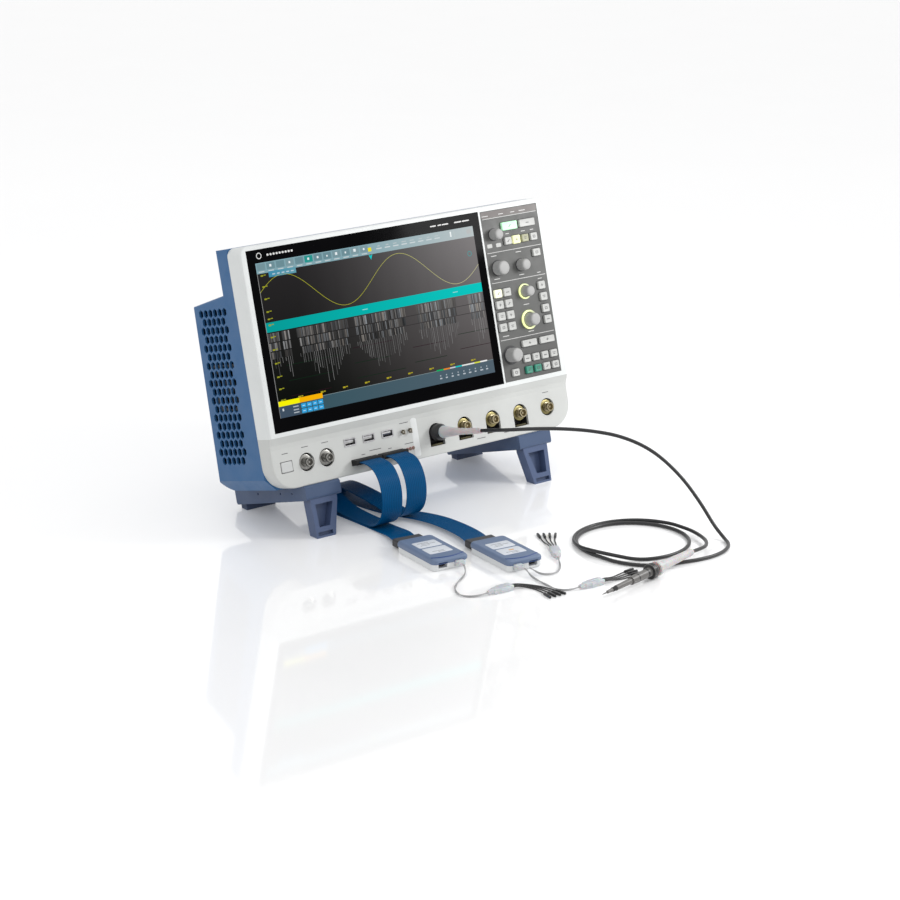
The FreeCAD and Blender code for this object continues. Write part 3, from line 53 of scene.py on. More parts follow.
ACROSS = Vector((1, 0, 0))
BENCH_UP = Vector((0, 0, 1))
INWARD = Vector(joints["level_position_knob_turn"]["axis"]).normalized()
UPWARD = ACROSS.cross(INWARD)
LEVEL_KNOB_AT = (163.2, 159.2)
CASE_ORIGIN = (Vector(joints["level_position_knob_turn"]["pos_m"])
               - (ACROSS * LEVEL_KNOB_AT[0] + UPWARD * LEVEL_KNOB_AT[1]) * MM)
CASE = Matrix.Translation(CASE_ORIGIN) @ Matrix((ACROSS, INWARD, UPWARD)).transposed().to_4x4()
FROM_CASE = CASE.inverted()


# ---------- materials

def put(node, **settings):
    """Set a node's inputs by name, with _ for a space, or its properties where no input is called that."""
    for key, value in settings.items():
        field = key.replace("_", " ")
        if field in node.inputs:
            node.inputs[field].default_value = value
        else:
            setattr(node, key, value)
    return node


def add(tree, kind, **settings):
    return put(tree.nodes.new(kind), **settings)


def bare(name, colour, rough, metal=0.0, stretch=(1, 1, 1)):
    """A material ready for more nodes, with object coordinates stretched along an axis where a grain runs."""
    made = bpy.data.materials.new(name)
    made.use_nodes = True
    tree = made.node_tree
    surface = tree.nodes["Principled BSDF"]
    put(surface, Base_Color=(*colour, 1), Roughness=rough, Metallic=metal)
    grid = add(tree, "ShaderNodeMapping", Scale=stretch)
    tree.links.new(add(tree, "ShaderNodeTexCoord").outputs["Object"], grid.inputs["Vector"])
    return made, tree, surface, grid.outputs["Vector"]


def noise(tree, vector, scale, detail=3.0, rough=0.55):
    cloud = add(tree, "ShaderNodeTexNoise", Scale=scale, Detail=detail, Roughness=rough)
    tree.links.new(vector, cloud.inputs["Vector"])
    return cloud.outputs["Fac"]


def spread(tree, value, low, high, start=0.3, stop=0.7):
    """A noise value stretched to a range."""
    remap = add(tree, "ShaderNodeMapRange", From_Min=start, From_Max=stop, To_Min=low, To_Max=high)
    tree.links.new(value, remap.inputs["Value"])
    return remap.outputs["Result"]


def tinted(tree, surface, value, colour, amount):
    """The base colour, lighter and darker by a share of itself where a value says."""
    ramp = add(tree, "ShaderNodeValToRGB")
    low, high = ramp.color_ramp.elements
    low.position, high.position = 0.3, 0.7
    low.color = (*[channel * (1 - amount) for channel in colour], 1)
    high.color = (*[min(channel * (1 + amount), 1) for channel in colour], 1)
    tree.links.new(value, ramp.inputs["Fac"])
    tree.links.new(ramp.outputs["Color"], surface.inputs["Base Color"])


def bumped(tree, surface, value, strength, distance):
    bump = add(tree, "ShaderNodeBump", Strength=strength, Distance=distance)
    tree.links.new(value, bump.inputs["Height"])
    tree.links.new(bump.outputs["Normal"], surface.inputs["Normal"])


def glossed(tree, surface, value, low, high):
    """Roughness that follows a noise value between two limits."""
    tree.links.new(spread(tree, value, low, high), surface.inputs["Roughness"])


def moulded(name, colour, rough=0.5, grain=1400.0, depth=0.00006, mottle=0.05, strength=0.5, shine=0.5):
    """Injection-moulded plastic: a fine spark texture, faint mottling and uneven gloss."""
    made, tree, surface, vector = bare(name, colour, rough)
    tinted(tree, surface, noise(tree, vector, 14, 4), colour, mottle)
    glossed(tree, surface, noise(tree, vector, 55, 5), rough - 0.07, rough + 0.09)
    bumped(tree, surface, noise(tree, vector, grain, 2), strength, depth)
    put(surface, Specular_IOR_Level=shine)
    return made


def metallic(name, colour, rough=0.28, stretch=(1, 1, 1), scratch=900.0, depth=0.00003):
    """Turned, drawn or plated metal with fine lines along its grain."""
    made, tree, surface, vector = bare(name, colour, rough, 1.0, stretch)
    tinted(tree, surface, noise(tree, vector, 60, 4), colour, 0.12)
    lines = noise(tree, vector, scratch, 3)
    glossed(tree, surface, lines, rough - 0.08, rough + 0.14)
    bumped(tree, surface, lines, 0.35, depth)
    return made


def rubbery(name, colour, rough=0.62, grain=700.0, depth=0.00008):
    made, tree, surface, vector = bare(name, colour, rough)
    tinted(tree, surface, noise(tree, vector, 40, 4), colour, 0.14)
    fine = noise(tree, vector, grain, 4)
    glossed(tree, surface, fine, rough - 0.1, rough + 0.1)
    bumped(tree, surface, fine, 0.4, depth)
    put(surface, Sheen_Weight=0.12)
    return made


def frosted(name, colour, rough=0.35, clear=0.35, depth=0.02):
    """Milky flexible plastic that lets some light through."""
    made, tree, surface, vector = bare(name, colour, rough)
    tinted(tree, surface, noise(tree, vector, 90, 4), colour, 0.06)
    bumped(tree, surface, noise(tree, vector, 500, 3), 0.3, 0.00008)
    put(surface, Transmission_Weight=clear, Subsurface_Weight=0.35, Subsurface_Scale=depth, IOR=1.42)
    return made


def lit(name, colour, glow, strength, rough=0.4):
    """A diffuser or lit key: its own colour, with a glow that is uneven like a light guide's."""
    made, tree, surface, vector = bare(name, colour, rough)
    tinted(tree, surface, noise(tree, vector, 120, 3), colour, 0.08)
    put(surface, Emission_Color=(*glow, 1))
    uneven = spread(tree, noise(tree, vector, 160, 2), strength * 0.8, strength * 1.15)
    tree.links.new(uneven, surface.inputs["Emission Strength"])
    bumped(tree, surface, noise(tree, vector, 900, 2), 0.3, 0.00004)
    return made


def ring_light(name, glow, strength):
    """A light guide that is bright on its left half and fades towards its right."""
    made, tree, surface, vector = bare(name, (0.42, 0.45, 0.3), 0.4)
    parts = add(tree, "ShaderNodeSeparateXYZ")
    tree.links.new(vector, parts.inputs["Vector"])
    fade = spread(tree, parts.outputs["X"], strength, strength * 0.05, 0.161, 0.1705)
    put(surface, Emission_Color=(*glow, 1))
    tree.links.new(fade, surface.inputs["Emission Strength"])
    bumped(tree, surface, noise(tree, vector, 900, 2), 0.3, 0.00004)
    return made


def display_picture():
    """The lit picture: colours painted on the mesh, dimmed by a fine pixel grid."""
    made, tree, surface, vector = bare("display_picture", (0.001, 0.001, 0.001), 0.16)
    paint = add(tree, "ShaderNodeVertexColor", layer_name="paint")
    cells = add(tree, "ShaderNodeTexVoronoi", Scale=2600.0)
    tree.links.new(vector, cells.inputs["Vector"])
    tree.links.new(paint.outputs["Color"], surface.inputs["Emission Color"])
    glow = spread(tree, cells.outputs["Distance"], 1.04, 0.94, 0.0, 0.8)
    tree.links.new(glow, surface.inputs["Emission Strength"])
    put(surface, Specular_IOR_Level=0.01)
    return made


def cover_glass():
    made, tree, surface, vector = bare("cover_glass_black", (0.0016, 0.0016, 0.002), 0.07)
    glossed(tree, surface, noise(tree, vector, 22, 5), 0.05, 0.13)
    tinted(tree, surface, noise(tree, vector, 9, 2), (0.0016, 0.0016, 0.002), 0.3)
    put(surface, Specular_IOR_Level=0.02)
    return made


def ribbon_pvc(name, colour, pitch):
    """Flat ribbon jacket: satin, its colour a little paler and darker in bands at the conductors' pitch."""
    made, tree, surface, vector = bare(name, colour, 0.34)
    waves = add(tree, "ShaderNodeTexWave", Scale=1 / pitch / 6.2832, Distortion=0.4, Detail=1.0)
    tree.links.new(vector, waves.inputs["Vector"])
    tinted(tree, surface, waves.outputs["Fac"], colour, 0.16)
    fine = noise(tree, vector, 420, 3)
    glossed(tree, surface, fine, 0.26, 0.44)
    bumped(tree, surface, fine, 0.25, 0.00005)
    put(surface, Specular_IOR_Level=0.1)
    return made


LOOKS = {
    "bezel_white": moulded("bezel_plastic", (0.665, 0.685, 0.68), 0.42),
    "strip_grey": moulded("strip_plastic", (0.52, 0.53, 0.515), 0.44),
    "cover_glass": cover_glass(),
    "display_module": moulded("module_plastic", (0.04, 0.04, 0.045), 0.4),
    "panel_grey": moulded("panel_plastic", (0.078, 0.079, 0.076), 0.5, grain=1800),
    "board_green": moulded("solder_mask", (0.03, 0.16, 0.08), 0.35, grain=260, mottle=0.25),
    "encoder_metal": metallic("encoder_metal", (0.55, 0.55, 0.56)),
    "light_ring": ring_light("ring_light", (0.82, 0.92, 0.34), 1.0),
    "silver_bnc": metallic("nickel_plate", (0.27, 0.265, 0.25), 0.3, (1, 6, 1)),
    "gold_bnc": metallic("gold_plate", (0.36, 0.31, 0.20), 0.28, (1, 6, 1)),
    "well_black": moulded("well_plastic", (0.022, 0.022, 0.024), 0.45),
    "socket_steel": metallic("socket_steel", (0.42, 0.42, 0.43), 0.35, (5, 1, 1)),
    "socket_black": moulded("socket_plastic", (0.012, 0.012, 0.014), 0.4, shine=0.15),
    "tin_plate": metallic("tin_plate", (0.21, 0.19, 0.15), 0.42),
    "shell_blue": moulded("shell_plastic", (0.024, 0.105, 0.25), 0.44, grain=1100, depth=0.00009),
    "rear_metal": moulded("rear_powder_coat", (0.09, 0.10, 0.115), 0.55, grain=900, depth=0.0001),
    "chassis_steel": metallic("zinc_plate", (0.55, 0.55, 0.56), 0.4, (1, 1, 8)),
    "fan_black": moulded("fan_plastic", (0.02, 0.02, 0.021), 0.38),
    # The rails' colour is a little darker than the legs': partly painted shade for the rails' shaded fronts.
    "rail_blue": moulded("rail_plastic", (0.044, 0.076, 0.152), 0.42, grain=1100, depth=0.00009),
    "leg_blue": moulded("leg_plastic", (0.058, 0.088, 0.175), 0.42, grain=1100, depth=0.00009),
    "pin_steel": metallic("turned_steel", (0.5, 0.5, 0.5), 0.3, (6, 1, 1)),
    "foot_rubber": rubbery("foot_rubber", (0.036, 0.056, 0.112)),
    "handle_grey": moulded("handle_plastic", (0.16, 0.17, 0.185), 0.5),
    "power_white": moulded("power_plastic", (0.52, 0.53, 0.525), 0.4),
    "knob_grey": moulded("knob_plastic", (0.355, 0.355, 0.35), 0.52, grain=1600, depth=0.00008),
    "key_grey": moulded("key_plastic", (0.47, 0.475, 0.46), 0.44),
    "run_green": lit("run_key_light", (0.45, 0.8, 0.5), (0.45, 0.95, 0.6), 0.3),
    "plug_grey": moulded("ribbon_plug", (0.017, 0.0175, 0.019), 0.5, shine=0.12),
    "plug_black": moulded("probe_plug", (0.014, 0.014, 0.015), 0.36),
    "pod_lid_blue": moulded("pod_lid", (0.125, 0.175, 0.28), 0.4),
    "pod_base_white": moulded("pod_base", (0.66, 0.675, 0.68), 0.42),
    "relief_rubber": rubbery("pod_relief", (0.024, 0.023, 0.026)),
    "ribbon_blue": ribbon_pvc("ribbon_jacket", (0.0, 0.066, 0.185), 0.0012),
    "lead_white": moulded("lead_jacket", (0.36, 0.36, 0.365), 0.4, mottle=0.08),
    "wire_black": rubbery("wire_jacket", (0.012, 0.012, 0.013), 0.45),
    "housing_clear": frosted("housing_plastic", (0.74, 0.76, 0.79)),
    "boot_clear": frosted("boot_plastic", (0.56, 0.57, 0.58), 0.42, 0.12),
    "cable_black": rubbery("cable_jacket", (0.010, 0.010, 0.011), 0.38, grain=500),
    "probe_grey": moulded("probe_plastic", (0.13, 0.125, 0.12), 0.4),
}
INK_WHITE = moulded("ink_white", (0.62, 0.62, 0.61), 0.5, mottle=0.1)
INK_GREY = moulded("ink_grey", (0.10, 0.10, 0.105), 0.55, mottle=0.1)
# Dark painted shade for the gaps round the keys and the bases of the knobs; the pods' empty ports use it too.
KEY_SHADE = moulded("painted_key_shade", (0.03, 0.03, 0.032), 0.55)
DIELECTRIC = moulded("socket_insulator", (0.20, 0.19, 0.17), 0.45)
USB_BLUE = moulded("usb_tongue_blue", (0.014, 0.02, 0.05), 0.4)
USB_WHITE = moulded("usb_tongue_white", (0.46, 0.46, 0.45), 0.4)
KEY_YELLOW = lit("channel_key_light", (0.66, 0.67, 0.5), (0.95, 0.96, 0.66), 0.4)
KEY_PALE = lit("trigger_key_light", (0.62, 0.62, 0.36), (0.9, 0.92, 0.45), 0.42)
KEY_OLIVE = moulded("trigger_key_dim", (0.34, 0.34, 0.22), 0.44)
KEY_GREEN = lit("apps_key_light", (0.025, 0.19, 0.13), (0.05, 0.5, 0.33), 0.06)
BRASS = metallic("brass_collar", (0.215, 0.185, 0.085), 0.36, (1, 6, 1))
# A warm colour lighter than the panel, for the band along its top: painted reflection.
PANEL_REFLECTION = moulded("panel_painted_reflection", (0.15, 0.135, 0.13), 0.5, grain=1800)
# A lighter colour for the strip's ridge: painted highlight.
RIDGE_HIGHLIGHT = moulded("ridge_painted_highlight", (0.67, 0.685, 0.68), 0.42)
CONTACT = metallic("contact_bars", (0.075, 0.068, 0.042), 0.5, (1, 6, 1))
PIN_RED = moulded("pin_collar_red", (0.26, 0.075, 0.075), 0.45)
POD_RIM = moulded("pod_rim", (0.02, 0.06, 0.2), 0.35)
POD_LABEL = moulded("pod_label", (0.62, 0.65, 0.70), 0.45, mottle=0.03)
POD_MARK = moulded("pod_mark", (0.62, 0.33, 0.1), 0.45)
PICTURE = display_picture()


# ---------- meshes

def placed(name, data):
    item = bpy.data.objects.new(name, data)
    bpy.context.scene.collection.objects.link(item)
    return item


def piece(name, form, slot=None, look=None, body="case", smooth=True):
    """Turn a finished form into an object on a body, with its slot's material or a look of its own."""
    mesh = bpy.data.meshes.new(name)
    bmesh.ops.recalc_face_normals(form, faces=form.faces)
    form.to_mesh(mesh)
    form.free()
    mesh.materials.append(look or LOOKS[slot])
    if smooth:
        mesh.shade_smooth()
        mesh.set_sharp_from_angle(angle=math.radians(38))
    item = placed(name, mesh)
    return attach(item, body)


def shift(x, y, z=0.0):
    return Matrix.Translation(Vector((x, y, z)) * MM)


def at(place, x, y, z):
    """A point of a place, given in millimetres."""
    return place @ (Vector((x, y, z)) * MM)


def circle(steps):
    return [2 * math.pi * i / steps for i in range(steps)]


def loft(form, loops, closed=True, capped=True):
    """Faces between rings of points that all have the same count."""
    rings = [[form.verts.new(point) for point in loop] for loop in loops]
    count = len(rings[0])
    for ring, after in zip(rings, rings[1:]):
        for i in range(count if closed else count - 1):
            j = (i + 1) % count
            form.faces.new((ring[i], ring[j], after[j], after[i]))
    if capped:
        form.faces.new(rings[0][::-1])
        form.faces.new(rings[-1])
    return rings


def hoop(form, loops):
    """A closed band: rings of points joined in order, and the last one back to the first."""
    rings = loft(form, loops, capped=False)
    count = len(rings[0])
    for i in range(count):
        j = (i + 1) % count
        form.faces.new((rings[-1][i], rings[-1][j], rings[0][j], rings[0][i]))


def middle(low, high):
    """Centre of a box on the case front, as X and Z."""
    return (low.x + high.x) / 2, (low.z + high.z) / 2


def rounded(wide, tall, radius, steps=4):
    """A round-cornered rectangle about the origin, as points of its own plane."""
    points = []
    for turn, (sx, sy) in enumerate(((1, 1), (-1, 1), (-1, -1), (1, -1))):
        for i in range(steps + 1):
            angle = math.pi / 2 * (turn + i / steps)
            points.append((sx * (wide / 2 - radius) + radius * math.cos(angle),
                           sy * (tall / 2 - radius) + radius * math.sin(angle)))
    return points


def slab(form, place, wide, tall, levels, radius, steps=4):
    """A round-cornered block in layers of (inset, height) along the place's Z."""
    loops = []
    for inset, height in levels:
        outline = rounded(wide - 2 * inset, tall - 2 * inset, max(radius - inset * 0.6, 0.15), steps)
        loops.append([at(place, x, y, height) for x, y in outline])
    loft(form, loops)


def block(name, place, wide, tall, levels, radius, slot=None, look=None, body="case", steps=4):
    """A round-cornered block as a piece of its own."""
    form = bmesh.new()
    slab(form, place, wide, tall, levels, radius, steps)
    return piece(name, form, slot, look, body)


def turned(form, place, profile, steps=40, ribs=0, rib=0.0):
    """A closed form turned about the place's Z from (radius, height) points, with side ribs."""
    loops = []
    for radius, height, *ribbed in profile:
        loop = []
        for angle in circle(steps):
            out = radius + (rib * ribbed[0] * math.cos(ribs * angle) if ribbed else 0)
            loop.append(at(place, out * math.cos(angle), out * math.sin(angle), height))
        loops.append(loop)
    loft(form, loops)


def facing_out(x, y, z):
    """A place on the case front: its X runs right, its Y up and its Z out towards the user."""
    axes = Matrix((ACROSS, UPWARD, -INWARD)).transposed().to_4x4()
    return Matrix.Translation(CASE @ (Vector((x, y, z)) * MM)) @ axes


def islands(node):
    """Box of each separate solid of a CAD node in the case frame, in millimetres, left to right."""
    form = bmesh.new()
    form.from_mesh(nodes[node].data)
    bmesh.ops.remove_doubles(form, verts=form.verts, dist=1e-6)
    form.verts.ensure_lookup_table()
    unseen, found = set(range(len(form.verts))), []
    while unseen:
        stack, members = [unseen.pop()], []
        while stack:
            vertex = form.verts[stack.pop()]
            members.append(FROM_CASE @ vertex.co / MM)
            for edge in vertex.link_edges:
                other = edge.other_vert(vertex).index
                if other in unseen:
                    unseen.discard(other)
                    stack.append(other)
        low = Vector([min(point[axis] for point in members) for axis in range(3)])
        high = Vector([max(point[axis] for point in members) for axis in range(3)])
        found.append((low, high))
    form.free()
    return sorted(found, key=lambda pair: (round(pair[0].x, 1), -round(pair[0].z, 1)))


# ---------- the carried-over CAD nodes

def dress_nodes():
    """Each CAD node that stays visible gets its slot's material."""
    slots = {row["node"]: row["material_slot"] for row in frame["record"]["subparts"]}
    for name, item in nodes.items():
        item.data.materials.clear()
        item.data.materials.append(CONTACT if name == "probe_contacts" else LOOKS[slots[name]])
        item.data.shade_smooth()
        item.data.set_sharp_from_angle(angle=math.radians(30))


# ---------- knobs and keys

def knob(node, flank, wide_skirt=False):
    """A soft-touch knob: fine ribs on its flank, an eased rim and a shallow domed face."""
    low, high = islands(node)[0]
    centre_x, centre_z = middle(low, high)
    radius, rise, start = (high.x - low.x) / 2, -low.y, -high.y
    front = radius * flank
    place = facing_out(centre_x, 0, centre_z)
    profile = [(radius - 0.5, start), (radius, start + 0.5)]
    if wide_skirt:
        profile += [(radius, start + 2.6), (radius - 0.4, start + 3.0), (front + 1.1, start + 3.3),
                    (front + 0.8, start + 3.9, 1)]
    else:
        profile += [(radius - 0.05, start + 1.6), (radius - 0.35, start + 2.1, 1)]
    profile += [(front + 0.25, rise - 2.4, 1), (front, rise - 1.5, 0.6), (front - 0.45, rise - 0.7),
                (front - 1.1, rise - 0.28), (front - 2.2, rise - 0.1), (front * 0.45, rise - 0.02),
                (front * 0.12, rise)]
    form = bmesh.new()
    turned(form, place, profile, 144, ribs=36, rib=0.16)
    item = piece(node.replace("_knob", "_cap"), form, "knob_grey", body=node)
    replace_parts(item, node)
    return centre_x, centre_z, radius


STRIP_Y = 5.0
KNOB_NODES = {"trigger_knob": 0.88, "time_scale_knob": 0.9, "time_position_knob": 0.88,
              "level_position_knob": 0.82, "level_scale_knob": 0.8, "menu_knob": 0.74}


def knobs():
    for node, flank in KNOB_NODES.items():
        x, z, radius = knob(node, flank, wide_skirt=node == "menu_knob")
        form = bmesh.new()
        # A dark disc a little wider than the knob where it meets the panel: painted shade.
        shade_ring = [(radius + 0.9, 0.02), (radius + 0.9, 0.12), (radius - 0.3, 0.16)]
        turned(form, facing_out(x, 0, z), shade_ring, 48)
        piece(node + "_shade_ring", form, "panel_grey", KEY_SHADE)


KEY_LOOKS = {("trigger_keys", 1): KEY_PALE, ("trigger_keys", 2): KEY_OLIVE, ("channel_keys", 0): KEY_YELLOW,
             ("function_keys", 2): KEY_GREEN, ("function_keys", 5): KEY_GREEN}
KEY_NODES = ["run_stop_key", "single_key", "trigger_keys", "zoom_key", "channel_keys", "menu_keys",
             "function_keys"]
GLYPHS = {
    "dash": [(0, 0, 4.2, 0.8)],
    "pair": [(0, 0.9, 4.0, 0.6), (0, -0.9, 2.8, 0.6)],
    "step": [(-1.1, -0.8, 2.2, 0.5), (0, 0, 0.5, 2.1), (1.1, 0.8, 2.2, 0.5)],
    "ring": [(-1.4, 0, 0.5, 2.6), (1.4, 0, 0.5, 2.6), (0, 1.2, 2.9, 0.5), (0, -1.2, 2.9, 0.5)],
    "cross": [(0, 0, 3.2, 0.55), (0, 0, 0.55, 3.2)],
}


def bars(name, places, look, lift=0.03, body="case"):
    """Flat printed bars, each (place, x, y, wide, tall), as one thin mesh."""
    form = bmesh.new()
    for place, x, y, wide, tall in places:
        slab(form, place @ shift(x, y), wide, tall, [(0, 0), (0, lift)], min(wide, tall) * 0.3, 2)
    piece(name, form, look=look, body=body, smooth=False)


def keys():
    """Key caps with eased rims and a shallow dish, a printed glyph, and a dark slab of painted shade round each
    where the gap lies.
    """
    gap_shades = bmesh.new()
    kinds = list(GLYPHS)
    for node in KEY_NODES:
        caps, glyphs = [], []
        for i, (low, high) in enumerate(islands(node)):
            x, z = middle(low, high)
            wide, tall, rise = high.x - low.x, high.z - low.z, -low.y
            place = facing_out(x, 0, z)
            levels = [(0, -1.2), (0, rise - 0.7), (0.16, rise - 0.3), (0.45, rise - 0.06), (0.8, rise),
                      (1.5, rise - 0.12), (2.6, rise - 0.2)]
            slot = "run_green" if node == "run_stop_key" else "key_grey"
            look = KEY_LOOKS.get((node, i))
            caps.append(block(f"{node}_cap_{i}", place, wide, tall, levels, 1.3, slot, look, node))
            glyph = GLYPHS[kinds[(i * 2 + len(node)) % len(kinds)]]
            glyphs += [(place @ shift(0, 0, rise - 0.2), *bar) for bar in glyph]
            # A dark slab a little wider than the key: painted shade standing in for the shadowed gap round it.
            slab(gap_shades, place, wide + 1.6, tall + 1.6, [(0, 0.02), (0, 0.1)], 1.6)
        bars(f"{node}_glyphs", glyphs, INK_GREY, 0.2, node)
        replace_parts(caps[0], node)
    piece("key_gap_shades", gap_shades, "panel_grey", KEY_SHADE)


def power_button():
    low, high = islands("power_key")[0]
    x, z = middle(low, high)
    rise = -low.y
    wide, tall = high.x - low.x, high.z - low.z
    levels = [(0, rise - 4), (0, rise - 0.6), (0.25, rise - 0.15), (0.8, rise), (2.2, rise - 0.12)]
    cap = block("power_cap", facing_out(x, 0, z), wide, tall, levels, 1.4, "power_white", body="power_key")
    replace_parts(cap, "power_key")
    wide, tall = wide + 0.9, tall + 0.9
    rim = facing_out(x, STRIP_Y, z)
    outline = [(rim, 0, tall / 2, wide, 0.5), (rim, 0, -tall / 2, wide, 0.5), (rim, -wide / 2, 0, 0.5, tall),
               (rim, wide / 2, 0, 0.5, tall)]
    bars("power_rim", outline, INK_GREY, 0.05)


# ---------- the picture on the display

ACTIVE = (-190.2, 76.6, 103.6, 241.8)
PICTURE_LIFT, LAYER_LIFT = 0.06, 0.012
TRACE_MIDDLE, TRACE_SWING, TRACE_PERIOD, TRACE_PEAK, TRACE_STEPS = 204.0, 22.3, 153.2, -5.5, 220


class Painter:
    """Flat coloured patches on the display, each layer a little nearer than the last."""

    def __init__(self):
        self.form = bmesh.new()
        self.paint = self.form.loops.layers.float_color.new("paint")

    def patch(self, corners, colours, layer):
        """A four-cornered patch; corners are (x, z) in the case frame."""
        depth = -(PICTURE_LIFT + layer * LAYER_LIFT)
        verts = [self.form.verts.new(CASE @ (Vector((x, depth, z)) * MM)) for x, z in corners]
        face = self.form.faces.new(verts)
        for loop, colour in zip(face.loops, colours):
            loop[self.paint] = (*colour, 1)

    def fill(self, x0, z0, x1, z1, colour, layer, right=None, top=None):
        """A rectangle, with another colour towards its right or its top if given."""
        there = right or colour
        corners = [(x0, z0), (x1, z0), (x1, z1), (x0, z1)]
        self.patch(corners, [colour, there, top or there, top or colour], layer)

    def stroke(self, points, wide, colour_at, layer):
        """A line of one width through points, as joined patches."""
        for start, end in zip(points, points[1:]):
            low, high = Vector(start), Vector(end)
            along = high - low
            side = Vector((-along.y, along.x)).normalized() * wide / 2
            self.patch([low - side, high - side, high + side, low + side], [colour_at(start[0])] * 4, layer)


def mix(low, high, share):
    return tuple(a + (b - a) * share for a, b in zip(low, high))


def picture():
    """Toolbar, sine trace, bus band, digital bursts, status bar and its coloured tiles."""
    draw = random.Random(7)
    art = Painter()
    left, low, right, high = ACTIVE
    toolbar, band_top, band_low, bar_top = 230.4, 178.4, 168.0, 91.4
    strips = 12
    edges = [left + (right - left) * i / strips for i in range(strips + 1)]
    # The plot background is dark at the left and lightens towards the right: a painted reflection of the room on
    # the display glass.
    for x0, x1 in zip(edges, edges[1:]):
        share = [max((x + 150) / 253, 0) ** 1.7 for x in (x0, x1)]
        under = [mix((0.002, 0.0032, 0.002), (0.095, 0.085, 0.086), part) for part in share]
        over = [mix((0.019, 0.0175, 0.0185), (0.215, 0.203, 0.205), part) for part in share]
        corners = [(x0, bar_top), (x1, bar_top), (x1, toolbar), (x0, toolbar)]
        art.patch(corners, [under[0], under[1], over[1], over[0]], 0)
    # The toolbar pales towards the right under the same painted reflection.
    for x0, x1 in zip(edges, edges[1:]):
        shade = [mix((0.23, 0.39, 0.44), (0.50, 0.56, 0.57), max((x + 60) / 165, 0)) for x in (x0, x1)]
        art.fill(x0, toolbar, x1, high, shade[0], 1, right=shade[1])
    for i in range(12):
        x = left + 1.2 + i * 12.3
        tone = (0.02, 0.30, 0.27) if i == 5 else mix((0.14, 0.26, 0.30), (0.26, 0.37, 0.40), draw.random())
        art.fill(x, toolbar + 3.4, x + 10.6, high - 1.0, tone, 2)
        art.fill(x + 1.4, toolbar + 1.2, x + 8.6, toolbar + 2.3, (0.55, 0.62, 0.64), 3)
        if i % 2 or i > 5:
            side = 1.6 + draw.random() * 1.6
            art.fill(x + 5 - side / 2, high - 5.6, x + 5 + side / 2, high - 5.6 + side, (0.8, 0.86, 0.88), 3)
    art.fill(-175.6, 225.2, -140.4, 231.6, (0.05, 0.27, 0.42), 3, right=(0.12, 0.34, 0.42))
    for i in range(5):
        art.fill(-171 + i * 6, 227.4, -167.4 + i * 6, 228.6, (0.5, 0.62, 0.7), 4)
    for i in range(8):
        x = -32 + i * 11.5
        art.fill(x, 234.6, x + 7.5, 235.8, (0.62, 0.68, 0.7), 3)
        art.fill(x + draw.random() * 2, 237.4, x + 5 + draw.random() * 2, 238.4, (0.5, 0.56, 0.58), 3)
    art.fill(76, 232.4, 77, 240, (0.5, 0.56, 0.56), 3)
    art.fill(70.5, 234, 72.5, 239.6, (0.85, 0.9, 0.9), 3)
    art.fill(94, 234, 100, 239, (0.5, 0.52, 0.52), 3)
    art.fill(-43.2, 233.6, -38.8, 237.8, (0.85, 0.75, 0.02), 4)
    art.patch([(-43.6, 230.4), (-41, 224.6), (-38.4, 230.4), (-41, 229.0)], [(0.0, 0.6, 0.6)] * 4, 4)
    ring = [(93.6 + 2.6 * math.cos(a), 212.0 + 2.6 * math.sin(a)) for a in circle(16) + [2 * math.pi]]
    art.stroke(ring, 0.6, lambda x: (0.03, 0.36, 0.38), 4)
    along = [left + (right - left) * i / TRACE_STEPS for i in range(TRACE_STEPS + 1)]
    curve = [(x, TRACE_MIDDLE + TRACE_SWING * math.cos(2 * math.pi * (x - TRACE_PEAK) / TRACE_PERIOD))
             for x in along]
    # The trace pales towards the right under the same painted reflection.
    art.stroke(curve, 0.5, lambda x: mix((0.42, 0.42, 0.03), (0.62, 0.60, 0.34), max((x + 60) / 165, 0)), 3)
    art.fill(left, band_low, right, band_top, (0.0, 0.33, 0.31), 2, right=(0.0, 0.58, 0.54))
    for x in (-63, 62):
        art.fill(x, 172.6, x + 7, 173.5, (0.3, 0.7, 0.7), 3)
    bursts(art, draw, bar_top)
    gold, leaf = (0.32, 0.33, 0.02), (0.42, 0.36, 0.02)
    for z in (228, 216.2, 203.2, 189.6, 181.8, 175.4, 162.4, 149, 134.4, 120, 107, 95):
        art.fill(-186, z - 0.8, -182.8, z + 0.8, gold, 5)
        art.fill(-182.2, z - 0.1, -179.4, z + 0.9, gold, 5)
    for i in range(9):
        x = -163.5 + i * 29.5
        art.fill(x, 94.2, x + 3.4, 96.0, leaf, 5)
        art.fill(x + 4, 94.8, x + 6.4, 96.0, leaf, 5)
    art.fill(left, low, left + 0.6, toolbar, (0.3, 0.3, 0.3), 4)
    status_bar(art, draw, bar_top)
    art.form.normal_update()
    piece("display_picture", art.form, "display_module", PICTURE, smooth=False)


